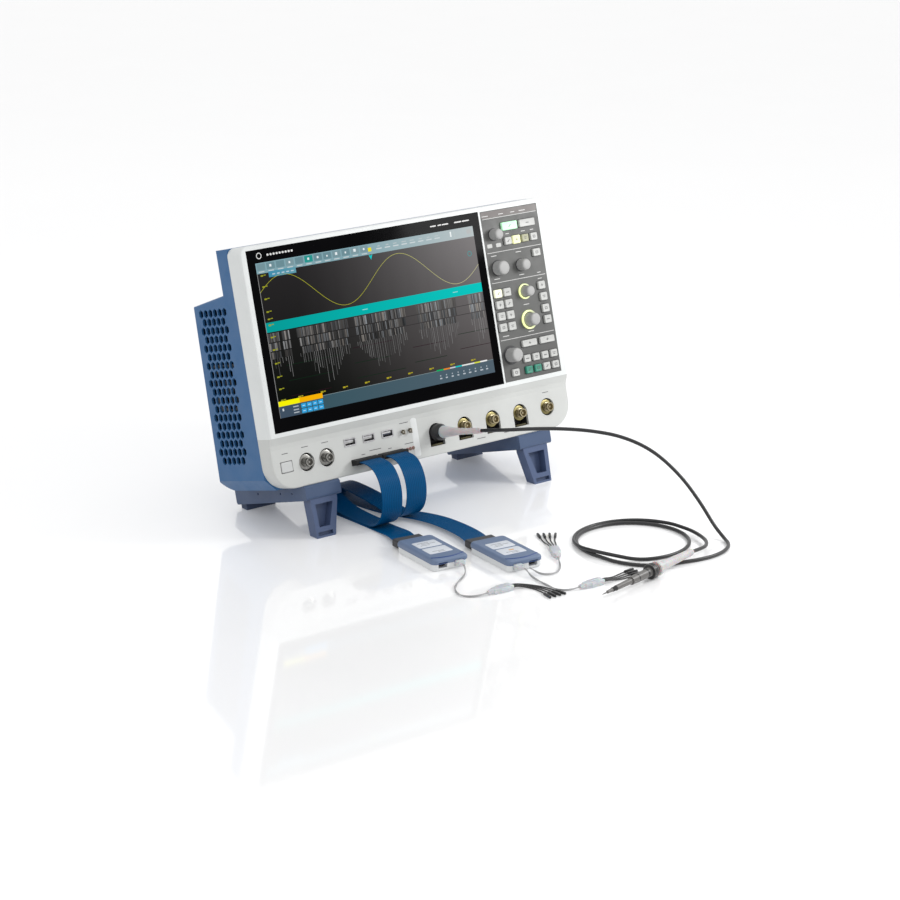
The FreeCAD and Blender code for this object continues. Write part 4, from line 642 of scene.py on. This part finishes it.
def bursts(art, draw, low):
    """Groups of digital bursts: three dense rows under the band, then combs of long lines."""
    groups = [(-189.4, -175.0), (-171.8, -161.4), (-152.4, -85.0), (-76.9, -6.8), (7.3, 64.0), (81.4, 103.4)]
    rows = [(157.2, 166.8, 0.0), (147.6, 156.2, 0.04), (139.4, 146.6, 0.12)]
    for start, end in groups:
        centre, half = (start + end) / 2, (end - start) / 2
        # Groups further right are lifted in tone by the same painted reflection.
        lift = max(centre, 0) * 0.0007
        for row, (z0, z1, drawn_in) in enumerate(rows):
            x, stop = start + half * drawn_in, end - half * drawn_in
            base = 0.062 * (1 - 0.18 * row) + lift
            art.fill(x, z0, stop, z1, (base, base * 0.96, base * 0.98), 2)
            while x < stop - 1:
                wide = 0.35 + draw.random() * 1.5
                tone = lift + (0.02 + 0.26 * draw.random() ** 2) * (1 - row * 0.16)
                warm = 1 + 0.2 * (draw.random() - 0.5)
                shade = (tone * warm, tone, tone * (2 - warm))
                art.fill(x, z0, min(x + wide, stop), z1, shade, 3, top=[part * 1.2 for part in shade])
                x += wide + draw.random() * 0.9
        x = start + 0.6
        while x < end - 0.5:
            away = abs(x - centre) / half
            reach = 138 - (37 if half > 10 else 26) * (1 - away) ** 0.65 * (0.4 + 0.6 * draw.random())
            tone = 0.07 + 0.15 * draw.random() + lift
            art.fill(x, reach, x + 0.5, 140, (tone, tone, tone), 3)
            x += 2.0 + draw.random() * 1.6
    # Two dark rules that lighten towards the right with the same painted reflection.
    for z in (156.6, 147.0):
        art.fill(ACTIVE[0] + 8, z - 0.3, ACTIVE[2], z + 0.3, (0.006, 0.006, 0.006), 4,
                 right=(0.045, 0.041, 0.042))
    for i in range(10):
        z, x = low + 6 + i * 4.1, (-172, -84, -4, 60)[i % 4]
        faint = (0.003, 0.022, 0.008) if i % 3 else (0.024, 0.004, 0.012)
        art.fill(x, z, min(x + 30 + draw.random() * 50, ACTIVE[2]), z + 0.5, faint, 1)


def status_bar(art, draw, top):
    left, low, right, _ = ACTIVE
    # The status bar lightens towards the right with the same painted reflection.
    art.fill(left, low, right, top, (0.03, 0.085, 0.11), 3, right=(0.085, 0.125, 0.16))
    art.fill(left, top - 0.5, right, top, (0.22, 0.28, 0.30), 4)
    art.fill(left + 0.4, 88.8, -162.6, 94.2, (0.95, 0.90, 0.0), 5)
    art.fill(-162.6, 88.8, -132.4, 94.2, (0.95, 0.45, 0.0), 5)
    art.fill(left + 0.4, low, -162.6, 88.8, (0.05, 0.08, 0.12), 5)
    for z in (79.0, 82.0, 85.4):
        art.fill(-172, z, -165, z + 1.1, (0.45, 0.5, 0.55), 6)
    art.fill(-186, 83.6, -184, 86.4, (0.6, 0.65, 0.7), 6)
    for row in range(2):
        for i in range(4):
            x, z = -161.6 + i * 7.4, 77.4 + row * 5.6
            art.fill(x, z, x + 6.4, z + 4.6, (0.03, 0.36, 0.72), 6)
            art.fill(x + 1.6, z + 1.8, x + 4.6, z + 2.6, (0.5, 0.75, 0.95), 7)
    segments = [(23, 33, (0.0, 0.45, 0.12)), (33, 42, (0.85, 0.26, 0.02)), (42, 49.5, (0.6, 0.62, 0.7)),
                (49.5, 59, (0.0, 0.55, 0.55)), (59, 76.5, (0.8, 0.82, 0.8)), (76.5, 85, (0.7, 0.75, 0.05)),
                (85, 95, (0.9, 0.9, 0.9))]
    for x0, x1, colour in segments:
        art.fill(x0, top - 0.6, x1, top + 0.9, colour, 6)
    for i in range(9):
        x = 26 + i * 8.2
        art.fill(x, 81.6, x + 2.4 + draw.random() * 1.8, 83.0, (0.5, 0.55, 0.6), 6)
        art.fill(x + 0.8, 84.6, x + 2.2, 86.0, (0.42, 0.47, 0.52), 6)


# ---------- printing on the case

def on_front(rows, tall, y=0.0):
    """Bars of one height on the case front, from rows of (x, z, wide)."""
    return [(facing_out(x, y, z), 0, 0, wide, tall) for x, z, wide in rows]


def printed():
    """Separators and plain bars where the real front has lettering."""
    low, high = islands("control_panel")[0]
    centre, across = (low.x + high.x) / 2, high.x - low.x
    separators = [(centre, z, across - 4) for z in (246.5, 208.2, 174.3, 109.4)]
    labels = [(123, 249.6, 9), (146, 249.8, 7), (163, 249.8, 6), (177, 249.8, 9), (127, 204.4, 8), (163, 204.4, 8),
              (151, 226.6, 5), (174, 226.6, 6), (187, 226.6, 5), (127, 178.4, 8), (163, 178.4, 7), (188, 170.4, 6),
              (163, 144.4, 8), (164, 113.6, 8), (127, 113.6, 9), (188, 177.4, 5)]
    bars("panel_print", on_front(separators, 0.55) + on_front(labels, 0.75), INK_WHITE)
    # The band along the top of the panel is a painted reflection, lighter and warmer than the panel.
    band_low, band_high = 247.2, high.z - 0.6
    band = on_front([(centre, (band_low + band_high) / 2, across - 1.2)], band_high - band_low)
    bars("panel_painted_reflection", band, PANEL_REFLECTION, 0.02)
    marks = [(-189, 38.6, 8), (-162.6, 41.2, 9), (-136.2, 41.2, 9), (-78.2, 46.4, 6), (-29, 43, 12),
             (-26, 19.8, 12), (-72, 21.4, 16), (-88.5, 19, 5), (-52.5, 19, 5), (174.3, 41.6, 9),
             (114, 7.2, 14), (74, 7.2, 12)]
    lines = [(-103.6, 46.4, 20), (96, 46.4, 20)]
    bars("strip_print", on_front(marks, 0.8, STRIP_Y) + on_front(lines, 0.3, STRIP_Y), INK_GREY)
    letters = [(-173 + i * 3.9, 249, 2.6) for i in range(9)]
    words = [(49, 248.8, 8), (58, 248.8, 5), (66, 248.8, 9), (84, 248.8, 10), (95, 248.8, 10)]
    bars("glass_print", on_front(letters, 2.2) + on_front(words, 1.4), INK_WHITE)
    form = bmesh.new()
    place = facing_out(-184.2, 0, 249.2)
    hoop(form, [[at(place, r * math.cos(a), r * math.sin(a), h) for a in circle(40)]
                for r, h in ((3.4, 0), (3.4, 0.03), (2.5, 0.03), (2.5, 0))])
    piece("glass_ring", form, look=INK_WHITE, smooth=False)


# ---------- details round the sockets

BNC_COLLAR = [(4.75, -11.6), (8.4, -11.4), (8.7, -10.9), (8.7, -8.6), (8.3, -8.0), (7.2, -7.7), (4.75, -7.6)]


def bnc_details():
    """Insulators, thread rings and collars in and behind each BNC socket."""
    white, brass, metal = bmesh.new(), bmesh.new(), {"silver_bnc": bmesh.new(), "gold_bnc": bmesh.new()}
    for slot, node in (("silver_bnc", "generator_sockets"), ("gold_bnc", "channel_sockets")):
        for low, high in islands(node):
            (x, z), front = middle(low, high), low.y
            place = facing_out(x, front, z)
            turned(white, place, [(3.55, -9.0), (3.55, -5.2), (3.3, -4.9), (1.9, -4.7), (1.5, -4.9)], 28)
            form = metal[slot]
            for height in (-4.6, -7.0):
                thread = [(4.7, height), (5.25, height + 0.25), (5.25, height + 0.75), (4.7, height + 1)]
                turned(form, place, thread, 36)
            turned(brass if slot == "gold_bnc" else form, place, BNC_COLLAR, 48)
    piece("bnc_insulators", white, look=DIELECTRIC)
    piece("channel_collars", brass, look=BRASS)
    for slot, form in metal.items():
        piece(slot + "_collars", form, slot)


def usb_details():
    """Tongues, and pale outlines round the openings."""
    spots = islands("usb_sockets")
    rims = bmesh.new()
    for i, (low, high) in enumerate(spots):
        x, z = middle(low, high)
        wide, tall = high.x - low.x, high.z - low.z
        inside = facing_out(x, low.y + 2.2, z - 0.2)
        block(f"usb_tongue_{i}", inside, wide - 2.9, 1.9, [(0, -7), (0, -0.2), (0.15, 0)], 0.3,
              look=USB_BLUE if i == len(spots) - 1 else USB_WHITE, steps=2)
        place = facing_out(x, low.y, z)
        loops = []
        for grow, height in ((0.0, -0.4), (0.6, -0.4), (0.6, 0.15), (0.0, 0.15)):
            outline = rounded(wide + 2 * grow, tall + 2 * grow, 0.6, 3)
            loops.append([at(place, px, py, height) for px, py in outline])
        hoop(rims, loops)
    piece("usb_rims", rims, "socket_steel")


def clock_pins():
    """Dull red collars at the three clock pins."""
    collars = bmesh.new()
    for x, z in ((-29.3, 13.4), (-25.2, 13.6), (-21.1, 13.8)):
        turned(collars, facing_out(x, STRIP_Y, z), [(1.3, 0), (1.9, 0.05), (1.9, 0.5), (1.35, 0.6)], 20)
    piece("clock_collars", collars, look=PIN_RED)


def strip_ridge():
    """The soft raised rib between the digital section of the strip and the channels, coloured lighter than the
    strip as a painted highlight on its curve.
    """
    levels = [(0, -0.3), (0.6, 0.02), (1.6, 0.14), (2.6, 0.22), (3.4, 0.25)]
    block("strip_ridge", facing_out(-15.8, STRIP_Y, 27.5), 9.4, 49, levels, 2.6, "bezel_white", RIDGE_HIGHLIGHT)


def panel_lights():
    """Two small flush windows beside the trigger knob."""
    for i, (x, z) in enumerate(((123.6, 216.0), (136.3, 215.7))):
        block(f"trigger_light_{i}", facing_out(x, 0, z), 7.2, 4.4, [(0, 0.02), (0.1, 0.2)], 0.8, "key_grey")


# ---------- cords

def route_curve(name, points, diameter):
    """A cord as one open NURBS spline with the route's points as control points."""
    data = bpy.data.curves.new(name, "CURVE")
    data.dimensions = "3D"
    line = data.splines.new("NURBS")
    line.points.add(len(points) - 1)
    for control, point in zip(line.points, points):
        control.co = (*[value * MM for value in point], 1)
    line.order_u = 3
    line.use_endpoint_u = True
    data.resolution_u = 10
    data.bevel_depth = diameter / 2 * MM
    data.bevel_resolution = 5
    data.use_fill_caps = True
    return placed(name, data)


def centreline(name, points):
    """Points along the route's NURBS spline, in metres."""
    item = route_curve(name + "_line", points, 0)
    bpy.context.view_layer.update()
    mesh = bpy.data.meshes.new_from_object(item.evaluated_get(bpy.context.evaluated_depsgraph_get()))
    line = [vertex.co.copy() for vertex in mesh.vertices]
    bpy.data.meshes.remove(mesh)
    bpy.data.objects.remove(item)
    return line


def round_cord(name, points, diameter, slot):
    """A round cord on the case, in its slot's material."""
    item = route_curve(name, points, diameter)
    item.data.materials.append(LOOKS[slot])
    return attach(item, "case")


def tangents(line):
    return [(line[min(i + 1, len(line) - 1)] - line[max(i - 1, 0)]).normalized() for i in range(len(line))]


RIBBON_LEFT = [
    (-88.5, -85.72, 71.61), (-88.5, -103, 73.5), (-88.5, -119, 61), (-88.5, -126, 41),
    (-88.5, -124, 19), (-88.5, -111, 4.6), (-88.5, -89, 2.6), (-88.5, -65, 3.2),
    (-88.5, -41, 5), (-88.5, -21, 11), (-88.5, -7, 16), (-88.5, 4, 12.5), (-88.5, 6, 4.6),
    (-88.4, -5, 0.7), (-88.1, -27, 0.66), (-87.6, -50, 0.66), (-87.4, -74, 0.66), (-87.6, -98, 0.7),
    (-89, -120, 1.4), (-92.2, -137, 3.6), (-97, -151, 5.4), (-101.8, -164.6, 5.8),
]
RIBBON_RIGHT = [
    (-52.5, -85.72, 71.61), (-52.5, -102, 73.2), (-52.5, -116, 60), (-52.5, -122.5, 41),
    (-52.5, -120, 20), (-52.5, -107, 6.6), (-52.5, -87, 6), (-52.5, -63, 9.6), (-52.5, -37, 13),
    (-52.5, -11, 14.6), (-52.5, 12, 14.8), (-52.5, 25, 10), (-52.5, 24.6, 3), (-52.4, 9, 0.7),
    (-52, -15, 0.66), (-50.6, -40, 0.66), (-47, -64, 0.7), (-41.5, -88, 1.6), (-36, -112, 3.6),
    (-33.6, -136, 5), (-33.8, -160, 5.4), (-35.8, -183, 5.6), (-39.4, -201, 5.8),
    (-44.2, -215.6, 5.8),
]
RIBBON_WIDE, RIBBON_THICK, CONDUCTORS = 27.0, 1.3, 20


def ribbon(name, points, node):
    """A flat ribbon cord whose face shows the ridge of each conductor."""
    line = centreline(name, points)
    pitch = RIBBON_WIDE / CONDUCTORS
    across = []
    for i in range(CONDUCTORS * 4 + 1):
        ridge = abs(math.sin(math.pi * i / 4))
        across.append((-RIBBON_WIDE / 2 + i * pitch / 4, RIBBON_THICK / 2 * (0.62 + 0.38 * ridge)))
    loops = []
    for point, along in zip(line, tangents(line)):
        side = (ACROSS - along * ACROSS.dot(along)).normalized()
        up = side.cross(along)
        upper = [point + (side * x + up * h) * MM for x, h in across]
        lower = [point + (side * x - up * h) * MM for x, h in reversed(across)]
        loops.append(upper + lower)
    form = bmesh.new()
    loft(form, loops)
    item = piece(name + "_cable", form, "ribbon_blue")
    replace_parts(item, node)


LEADS = [
    [(-104.2, -266.2, 5.8), (-107.4, -273, 4.4), (-113.6, -280.6, 1.7), (-124, -288, 1.3), (-137, -296, 1.25),
     (-149, -307, 1.25), (-157, -321, 1.25), (-154.6, -334, 1.25), (-144, -340.4, 1.7), (-133.4, -341, 3)],
    [(-62.4, -315, 5.8), (-64.2, -322, 4.4), (-66, -330.4, 1.7), (-67.4, -342, 1.3), (-69, -355, 1.25),
     (-70.4, -369, 1.25), (-68, -380.6, 1.7), (-60, -385.6, 2.2), (-50.4, -386, 3)],
    [(-57, -316.4, 5.8), (-56.6, -323, 4.4), (-53.4, -330, 1.7), (-45, -335.4, 1.3), (-34, -334, 1.25),
     (-24, -326, 1.25), (-15, -315, 1.7), (-8.4, -304.6, 3)],
]
LEAD_D, WIRE_D, CABLE_D = 2.4, 1.4, 4.0
STRAND_PITCH = 26.0


def twin_lead(name, points):
    """Two thin insulated wires laid together along one route, slowly twisting."""
    line = centreline(name, points)
    form = bmesh.new()
    radius = offset = LEAD_D / 4
    for strand in (0, math.pi):
        loops, travelled = [], 0.0
        for i, (point, along) in enumerate(zip(line, tangents(line))):
            travelled += (point - line[i - 1]).length / MM if i else 0
            side = along.cross(BENCH_UP).normalized()
            up = side.cross(along)
            turn = 2 * math.pi * travelled / STRAND_PITCH * 0.5 + strand
            centre = point + (side * math.cos(turn) + up * math.sin(turn)) * offset * MM
            loops.append([centre + (side * math.cos(a) + up * math.sin(a)) * radius * MM for a in circle(10)])
        loft(form, loops)
    return piece(name, form, "lead_white"), line


HOUSINGS = [(-118, -341, 0, True), (-35, -386, 0, False), (0, -291.4, 58, False)]
WIRES_PER_HOUSING = 4
FAN_BENT = [(15.1, 0, 3, 2.4), (21, -0.4, 3.1, 2.4), (27.6, -2.8, 1.8, 2.6), (33.4, -8, 0.9, 2.9),
            (37, -15.6, 0.8, 3.4), (38.4, -25, 0.9, 4.1), (38, -34, 1.3, 5)]
FAN_AHEAD = [(15.1, 0, 3, 2.4), (21.4, 0.2, 3.1, 2.5), (28.4, -0.4, 1.8, 2.9), (36.4, 0, 0.9, 3.6),
             (45.4, 1, 0.8, 4.4), (53.4, 0.6, 1.3, 5.2)]


TIPPED_X, TIPPED_Y = (Matrix.Rotation(math.radians(90), 4, axis) for axis in "XY")


def on_bench(x, y, heading, z=0.0):
    """A place on the bench whose X runs along a heading in degrees."""
    return shift(x, y, z) @ Matrix.Rotation(math.radians(heading), 4, "Z")


def wire_routes(i):
    """The route of each wire that fans out of a housing, in millimetres."""
    x, y, heading, bent = HOUSINGS[i]
    turn = Matrix.Rotation(math.radians(heading), 3, "Z")
    steps = FAN_BENT if bent else FAN_AHEAD
    routes = []
    for k in range(WIRES_PER_HOUSING):
        side = k - (WIRES_PER_HOUSING - 1) / 2
        points = []
        for step, (along, across, height, apart) in enumerate(steps):
            near, far = steps[max(step - 1, 0)], steps[min(step + 1, len(steps) - 1)]
            normal = Vector((near[1] - far[1], far[0] - near[0], 0)).normalized()
            offset = Vector((along, across, height)) + normal * side * apart
            points.append(tuple(Vector((x, y, 0)) + turn @ offset))
        routes.append(points)
    return routes


def wire_housing(i):
    """A stepped milky housing with a lead at one end and four wires at the other."""
    x, y, heading, _ = HOUSINGS[i]
    place = on_bench(x, y, heading)
    form = bmesh.new()
    side_on = place @ TIPPED_Y
    stages = [(-15.3, 3.2, 3.0), (-14.8, 4.0, 3.6), (-9, 5.6, 4.6), (-8.4, 8.0, 5.4), (-2, 9.6, 5.8),
              (-1.4, 10.8, 6), (13.6, 11.0, 6), (14.6, 10.4, 5.6), (15.2, 9.6, 5.0)]
    loops = []
    for along, wide, tall in stages:
        outline = rounded(tall, wide, min(tall, wide) * 0.24, 3)
        loops.append([at(side_on, px - 3.0, py, along) for px, py in outline])
    loft(form, loops)
    for k in range(3):
        slab(form, place @ shift(-0.4 + k * 4.6, 0, 5.9), 1.2, 9.0, [(0, -0.4), (0, 0.05), (0.2, 0.12)], 0.4, 2)
    return piece(f"wire_housing_{i}", form, "housing_clear")


def wire_socket(name, route):
    """The small black single-pin socket on a wire's end."""
    tip, before = Vector(route[-1]), Vector(route[-2])
    heading = math.degrees(math.atan2(tip.y - before.y, tip.x - before.x))
    place = on_bench(tip.x, tip.y, heading) @ TIPPED_Y
    form = bmesh.new()
    loops = []
    for along, size in ((-0.4, 1.7), (0.2, 2.3), (1.2, 2.6), (10.6, 2.6), (10.8, 2.2), (13.2, 2.2),
                        (13.5, 1.8)):
        loops.append([at(place, px - 1.3, py, along) for px, py in rounded(size, size, 0.35, 2)])
    loft(form, loops)
    return piece(name, form, look=LOOKS["plug_black"])


def leads_and_wires():
    """Leads from the pods, their housings, and the wires that fan out of each."""
    for i, points in enumerate(LEADS):
        housing = wire_housing(i)
        lead, line = twin_lead(f"lead_{i}", points)
        if i == 0:
            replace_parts(housing, "lead_connectors")
            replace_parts(lead, "lead_cords")
        for k, route in enumerate(wire_routes(i)):
            socket = wire_socket(f"wire_socket_{i}_{k}", route)
            wire = round_cord(f"fly_wire_{i}_{k}", route, WIRE_D, "wire_black")
            if i == 0 and k == 0:
                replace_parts(wire, "fly_wires")
            run = centreline(f"fly_{i}_{k}", route)


PODS = [("left", -109.0, -220.0), ("right", -50.7, -270.0)]
POD_TURN, POD_WIDE, POD_LONG, POD_TOP, POD_SEAM = -6.8, 44.0, 76.0, 13.5, 8.3
POD_LABEL_WIDE, POD_LABEL_LONG = 28.0, 18.4
POD_RIM_REACH, POD_RIM_STEPS = 19.5, 24
POD_PORT_X, POD_PORT_Z = 9.7, 6.4
POD_LINES = [(-3, 14.5, 13), (2, 11, 17), (-4, 7.5, 11), (-1, -13.5, 14), (2, -16.5, 9)]
POD_RIM_SECTION = [(-1.3, -0.8), (-1.3, 0.0), (-0.8, 0.45), (0.8, 0.45), (1.3, 0.0), (1.3, -0.8)]


def pod_details():
    """Label plates, the raised front rim, the empty port and the lead's plug on each pod."""
    for side, x, y in PODS:
        place = on_bench(x, y, POD_TURN)
        lid = place @ shift(0, 0, POD_TOP)
        plates = bmesh.new()
        for offset in (10.6, -10.4):
            slab(plates, lid @ shift(0, offset), POD_LABEL_WIDE, POD_LABEL_LONG,
                 [(0, -0.3), (0, 0.12), (0.3, 0.22)], 2.0)
        piece(f"pod_labels_{side}", plates, look=POD_LABEL)
        lines = [(lid @ shift(0, 0, 0.22), lx, ly, wide, 0.7) for lx, ly, wide in POD_LINES]
        bars(f"pod_lines_{side}", lines, INK_GREY)
        rim = bmesh.new()
        sections = []
        for i in range(POD_RIM_STEPS + 1):
            across = POD_RIM_REACH * (2 * i / POD_RIM_STEPS - 1)
            back = -28.5 - 5.5 * math.cos(math.pi * across / POD_WIDE)
            sections.append([at(lid, across, back + dy, dz) for dy, dz in POD_RIM_SECTION])
        loft(rim, sections)
        piece(f"pod_rim_{side}", rim, look=POD_RIM)
        block(f"pod_seam_{side}", place @ shift(0, 0, POD_SEAM), POD_WIDE - 0.9, POD_LONG - 0.9,
              [(0, -0.5), (0, 0.2)], 5.6, look=POD_RIM, steps=6)
        filled = POD_PORT_X if side == "left" else -POD_PORT_X
        plug_at = place @ shift(filled, -POD_LONG / 2 + 6, POD_PORT_Z) @ TIPPED_X
        levels = [(0, 0), (0, 9.6), (0.3, 10.2), (1.4, 10.4), (1.6, 12.0)]
        block(f"pod_plug_{side}", plug_at, 9.9, 5.3, levels, 1.0, "housing_clear", steps=3)
        port_at = place @ shift(-filled, -POD_LONG / 2 + 7.4, POD_PORT_Z) @ TIPPED_X
        block(f"pod_port_{side}", port_at, 10.2, 5.8, [(0, 0), (0, 1.4)], 0.6, look=KEY_SHADE, steps=2)
        if side == "right":
            bars("pod_mark", [(lid @ shift(0, 0, 0.23), 1.5, -8.2, 6.4, 2.6)], POD_MARK)


# ---------- probe

PROBE_TAIL = Vector((100.0, -393.0, 10.0))
PROBE_TIP = Vector((-52.8, -424.0, 6.4))
CABLE_FALL = [
    (13.3, -151.6, 101.3), (14.6, -178, 107.6), (22, -194, 110.6), (38, -210.6, 112.6), (62, -227.6, 112.2),
    (90, -245, 108.6), (117, -264.6, 101.6), (140, -288, 87), (157, -313, 62), (167, -334, 35),
    (172, -351, 12), (171.5, -367, 2.6), (163, -384, 2.05), (146, -396, 2.02), (125, -401, 2.02),
    (104, -399.6, 2.02), (84, -394.4, 2.02), (64, -388, 2.05), (47, -378, 2.1), (36, -363, 2.1), (30.6, -347, 2.1),
]
CABLE_RISE = [
    (155.5, -318, 5.6), (156, -334, 5.2), (152, -352, 5), (144, -369, 5.4), (131, -381.6, 6.4),
    (116, -389, 8.6), (101, -392.8, 9.9),
]
COIL_AT = (92.0, -312.0)
COIL_STEPS = 26
COIL_START, COIL_END = -161.0, -708.0
COIL_WIDEST, COIL_FIRST, COIL_SECOND = 66.0, 59.6, 65.2
COIL_LYING, COIL_CROSSING = 2.1, 6.5


def coil_turns():
    """One and a half loose turns, clockwise from above, the second beside the first and over its entry."""
    points = []
    for i in range(COIL_STEPS):
        share = i / (COIL_STEPS - 1)
        angle = COIL_START + (COIL_END - COIL_START) * share
        turn = (COIL_START - angle) / 360
        if turn < 0.8:
            radius = COIL_WIDEST + (COIL_FIRST - COIL_WIDEST) * min(turn / 0.3, 1)
        else:
            radius = COIL_FIRST + (COIL_SECOND - COIL_FIRST) * min((turn - 0.8) / 0.25, 1)
        over = max(0.0, 1 - abs(turn - 1.02) / 0.1)
        rising = 2.6 * max(0, turn - 1.3) / 0.22
        height = COIL_LYING + (COIL_CROSSING - COIL_LYING) * min(over * 1.6, 1) + rising
        points.append((COIL_AT[0] + radius * math.cos(math.radians(angle)),
                       COIL_AT[1] + radius * math.sin(math.radians(angle)), min(height, COIL_CROSSING)))
    return points


def probe_axis():
    """A place at the probe's tail: its Z runs from the cable towards the tip."""
    turn = (PROBE_TIP - PROBE_TAIL).to_track_quat("Z", "Y").to_matrix().to_4x4()
    return shift(*PROBE_TAIL) @ turn


def ribbed(start, end, r0, r1, ribs, depth):
    """A tapered sleeve's profile with rounded ribs."""
    profile = []
    for k in range(ribs * 6 + 1):
        share = k / (ribs * 6)
        swell = depth * math.sin(math.pi * (k % 6) / 6) if 0 < k < ribs * 6 else 0
        profile.append((r0 + (r1 - r0) * share + swell - depth * 0.5, start + (end - start) * share))
    return profile


def probe():
    """The passive probe: plug collar, boots, cable, and a stepped handle with its tip."""
    plug = bmesh.new()
    low, high = islands("probe_plug")[0]
    x, z = middle(low, high)
    place = facing_out(x, 0, z)
    collar = [(8.6, -12.8), (9.0, -12.2), (9.0, -3.4), (8.5, -3.0), (8.5, -1.8), (9.1, -1.4, 1), (9.1, 4.2, 1),
              (8.8, 4.8), (8.5, 5.2), (7.9, 6.6), (7.3, 7.9), (6.4, 8.2)]
    turned(plug, place, collar, 120, ribs=30, rib=0.12)
    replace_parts(piece("probe_collar", plug, "plug_black"), "probe_plug")
    boots = bmesh.new()
    turned(boots, place, [(5.8, 7.6), (6.9, 8.0), (6.9, 9.4), (5.9, 17.0), (4.5, 29.0), (3.6, 39.0)]
           + ribbed(40.0, 72.0, 3.5, 3.1, 13, 0.3) + [(3.1, 73.0), (3.0, 75.6), (2.5, 76.0)], 40)
    axis = probe_axis()
    turned(boots, axis, [(2.4, 0.2), (3.3, 1.0)] + ribbed(1.6, 42.0, 3.5, 4.6, 13, 0.4)
           + [(4.9, 43.5), (5.2, 59.4), (6.2, 60.0), (7.6, 60.6), (7.85, 61.3), (7.9, 63.9), (7.4, 64.8)], 48)
    boot_piece = piece("probe_sleeves", boots, "boot_clear")
    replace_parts(boot_piece, "probe_boots")
    bands = bmesh.new()
    guard = [(7.2, 69.8), (8.1, 70.2), (8.3, 70.9, 1), (8.3, 75.1, 1), (8.1, 75.8), (7.2, 76.2)]
    turned(bands, axis, guard, 120, ribs=30, rib=0.08)
    for band, steps in (([(4.7, 80.6), (5.05, 80.8), (5.03, 83.0), (4.7, 83.2)], 40),
                        ([(4.3, 97.0), (4.75, 97.2), (4.72, 98.4), (4.3, 98.6)], 40),
                        ([(2.6, 133.2), (2.9, 133.6), (2.4, 134.4), (2.3, 139.6), (2.0, 140.0)], 32)):
        turned(bands, axis, band, steps)
    piece("probe_bands", bands, "plug_black")
    points = CABLE_FALL + coil_turns() + CABLE_RISE
    cable = round_cord("probe_lead", points, CABLE_D, "cable_black")
    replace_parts(cable, "probe_cable", "probe_coil")
    run = centreline("probe_run", points)


# ---------- stage

def soft_light(name, where, aim, size, power):
    data = bpy.data.lights.new(name, "AREA")
    data.shape = "RECTANGLE"
    data.size, data.size_y = size
    data.energy = power
    item = placed(name, data)
    item.location = where
    item.rotation_euler = (Vector(aim) - Vector(where)).to_track_quat("-Z", "Y").to_euler()


def stage():
    mesh = bpy.data.meshes.new("bench")
    mesh.from_pydata([(-6, -6, 0), (6, -6, 0), (6, 6, 0), (-6, 6, 0)], [], [(0, 1, 2, 3)])
    floor = placed("bench", mesh)
    made, tree, surface, vector = bare("bench_top", (0.88, 0.88, 0.885), 0.4)
    glossed(tree, surface, noise(tree, vector, 6, 4), 0.34, 0.44)
    put(surface, Coat_Weight=1.0, Coat_Roughness=0.06, Coat_IOR=1.6, Emission_Color=(1, 1, 1, 1),
        Emission_Strength=0.17)
    mesh.materials.append(made)
    soft_light("overhead", (0.1, -0.3, 2.2), (0, 0, 0), (2.6, 2.2), 4)
    soft_light("left_front", (-2.0, -1.4, 1.5), (0, 0, 0.15), (1.6, 1.4), 5)
    soft_light("right_key", (0.62, -0.62, 0.52), (0.1, -0.05, 0.16), (0.26, 0.26), 3.8)
    world = bpy.data.worlds.new("studio")
    bpy.context.scene.world = world
    world.use_nodes = True
    put(world.node_tree.nodes["Background"], Color=(1, 1, 1, 1), Strength=0.92)
    bpy.context.scene.view_settings.view_transform = "Standard"


def camera():
    data = bpy.data.cameras.new("camera")
    data.lens = 109.43
    data.sensor_width = 36
    item = placed("camera", data)
    item.location = (-1.78127, -2.33863, 0.95126)
    item.rotation_euler = (math.radians(72.87), 0, math.radians(-38.68))
    bpy.context.scene.camera = item


camera()
stage()
dress_nodes()
ribbon("ribbon_left", RIBBON_LEFT, "ribbon_left")
ribbon("ribbon_right", RIBBON_RIGHT, "ribbon_right")
leads_and_wires()
pod_details()
probe()
knobs()
keys()
power_button()
picture()
printed()
bnc_details()
usb_details()
clock_pins()
strip_ridge()
panel_lights()
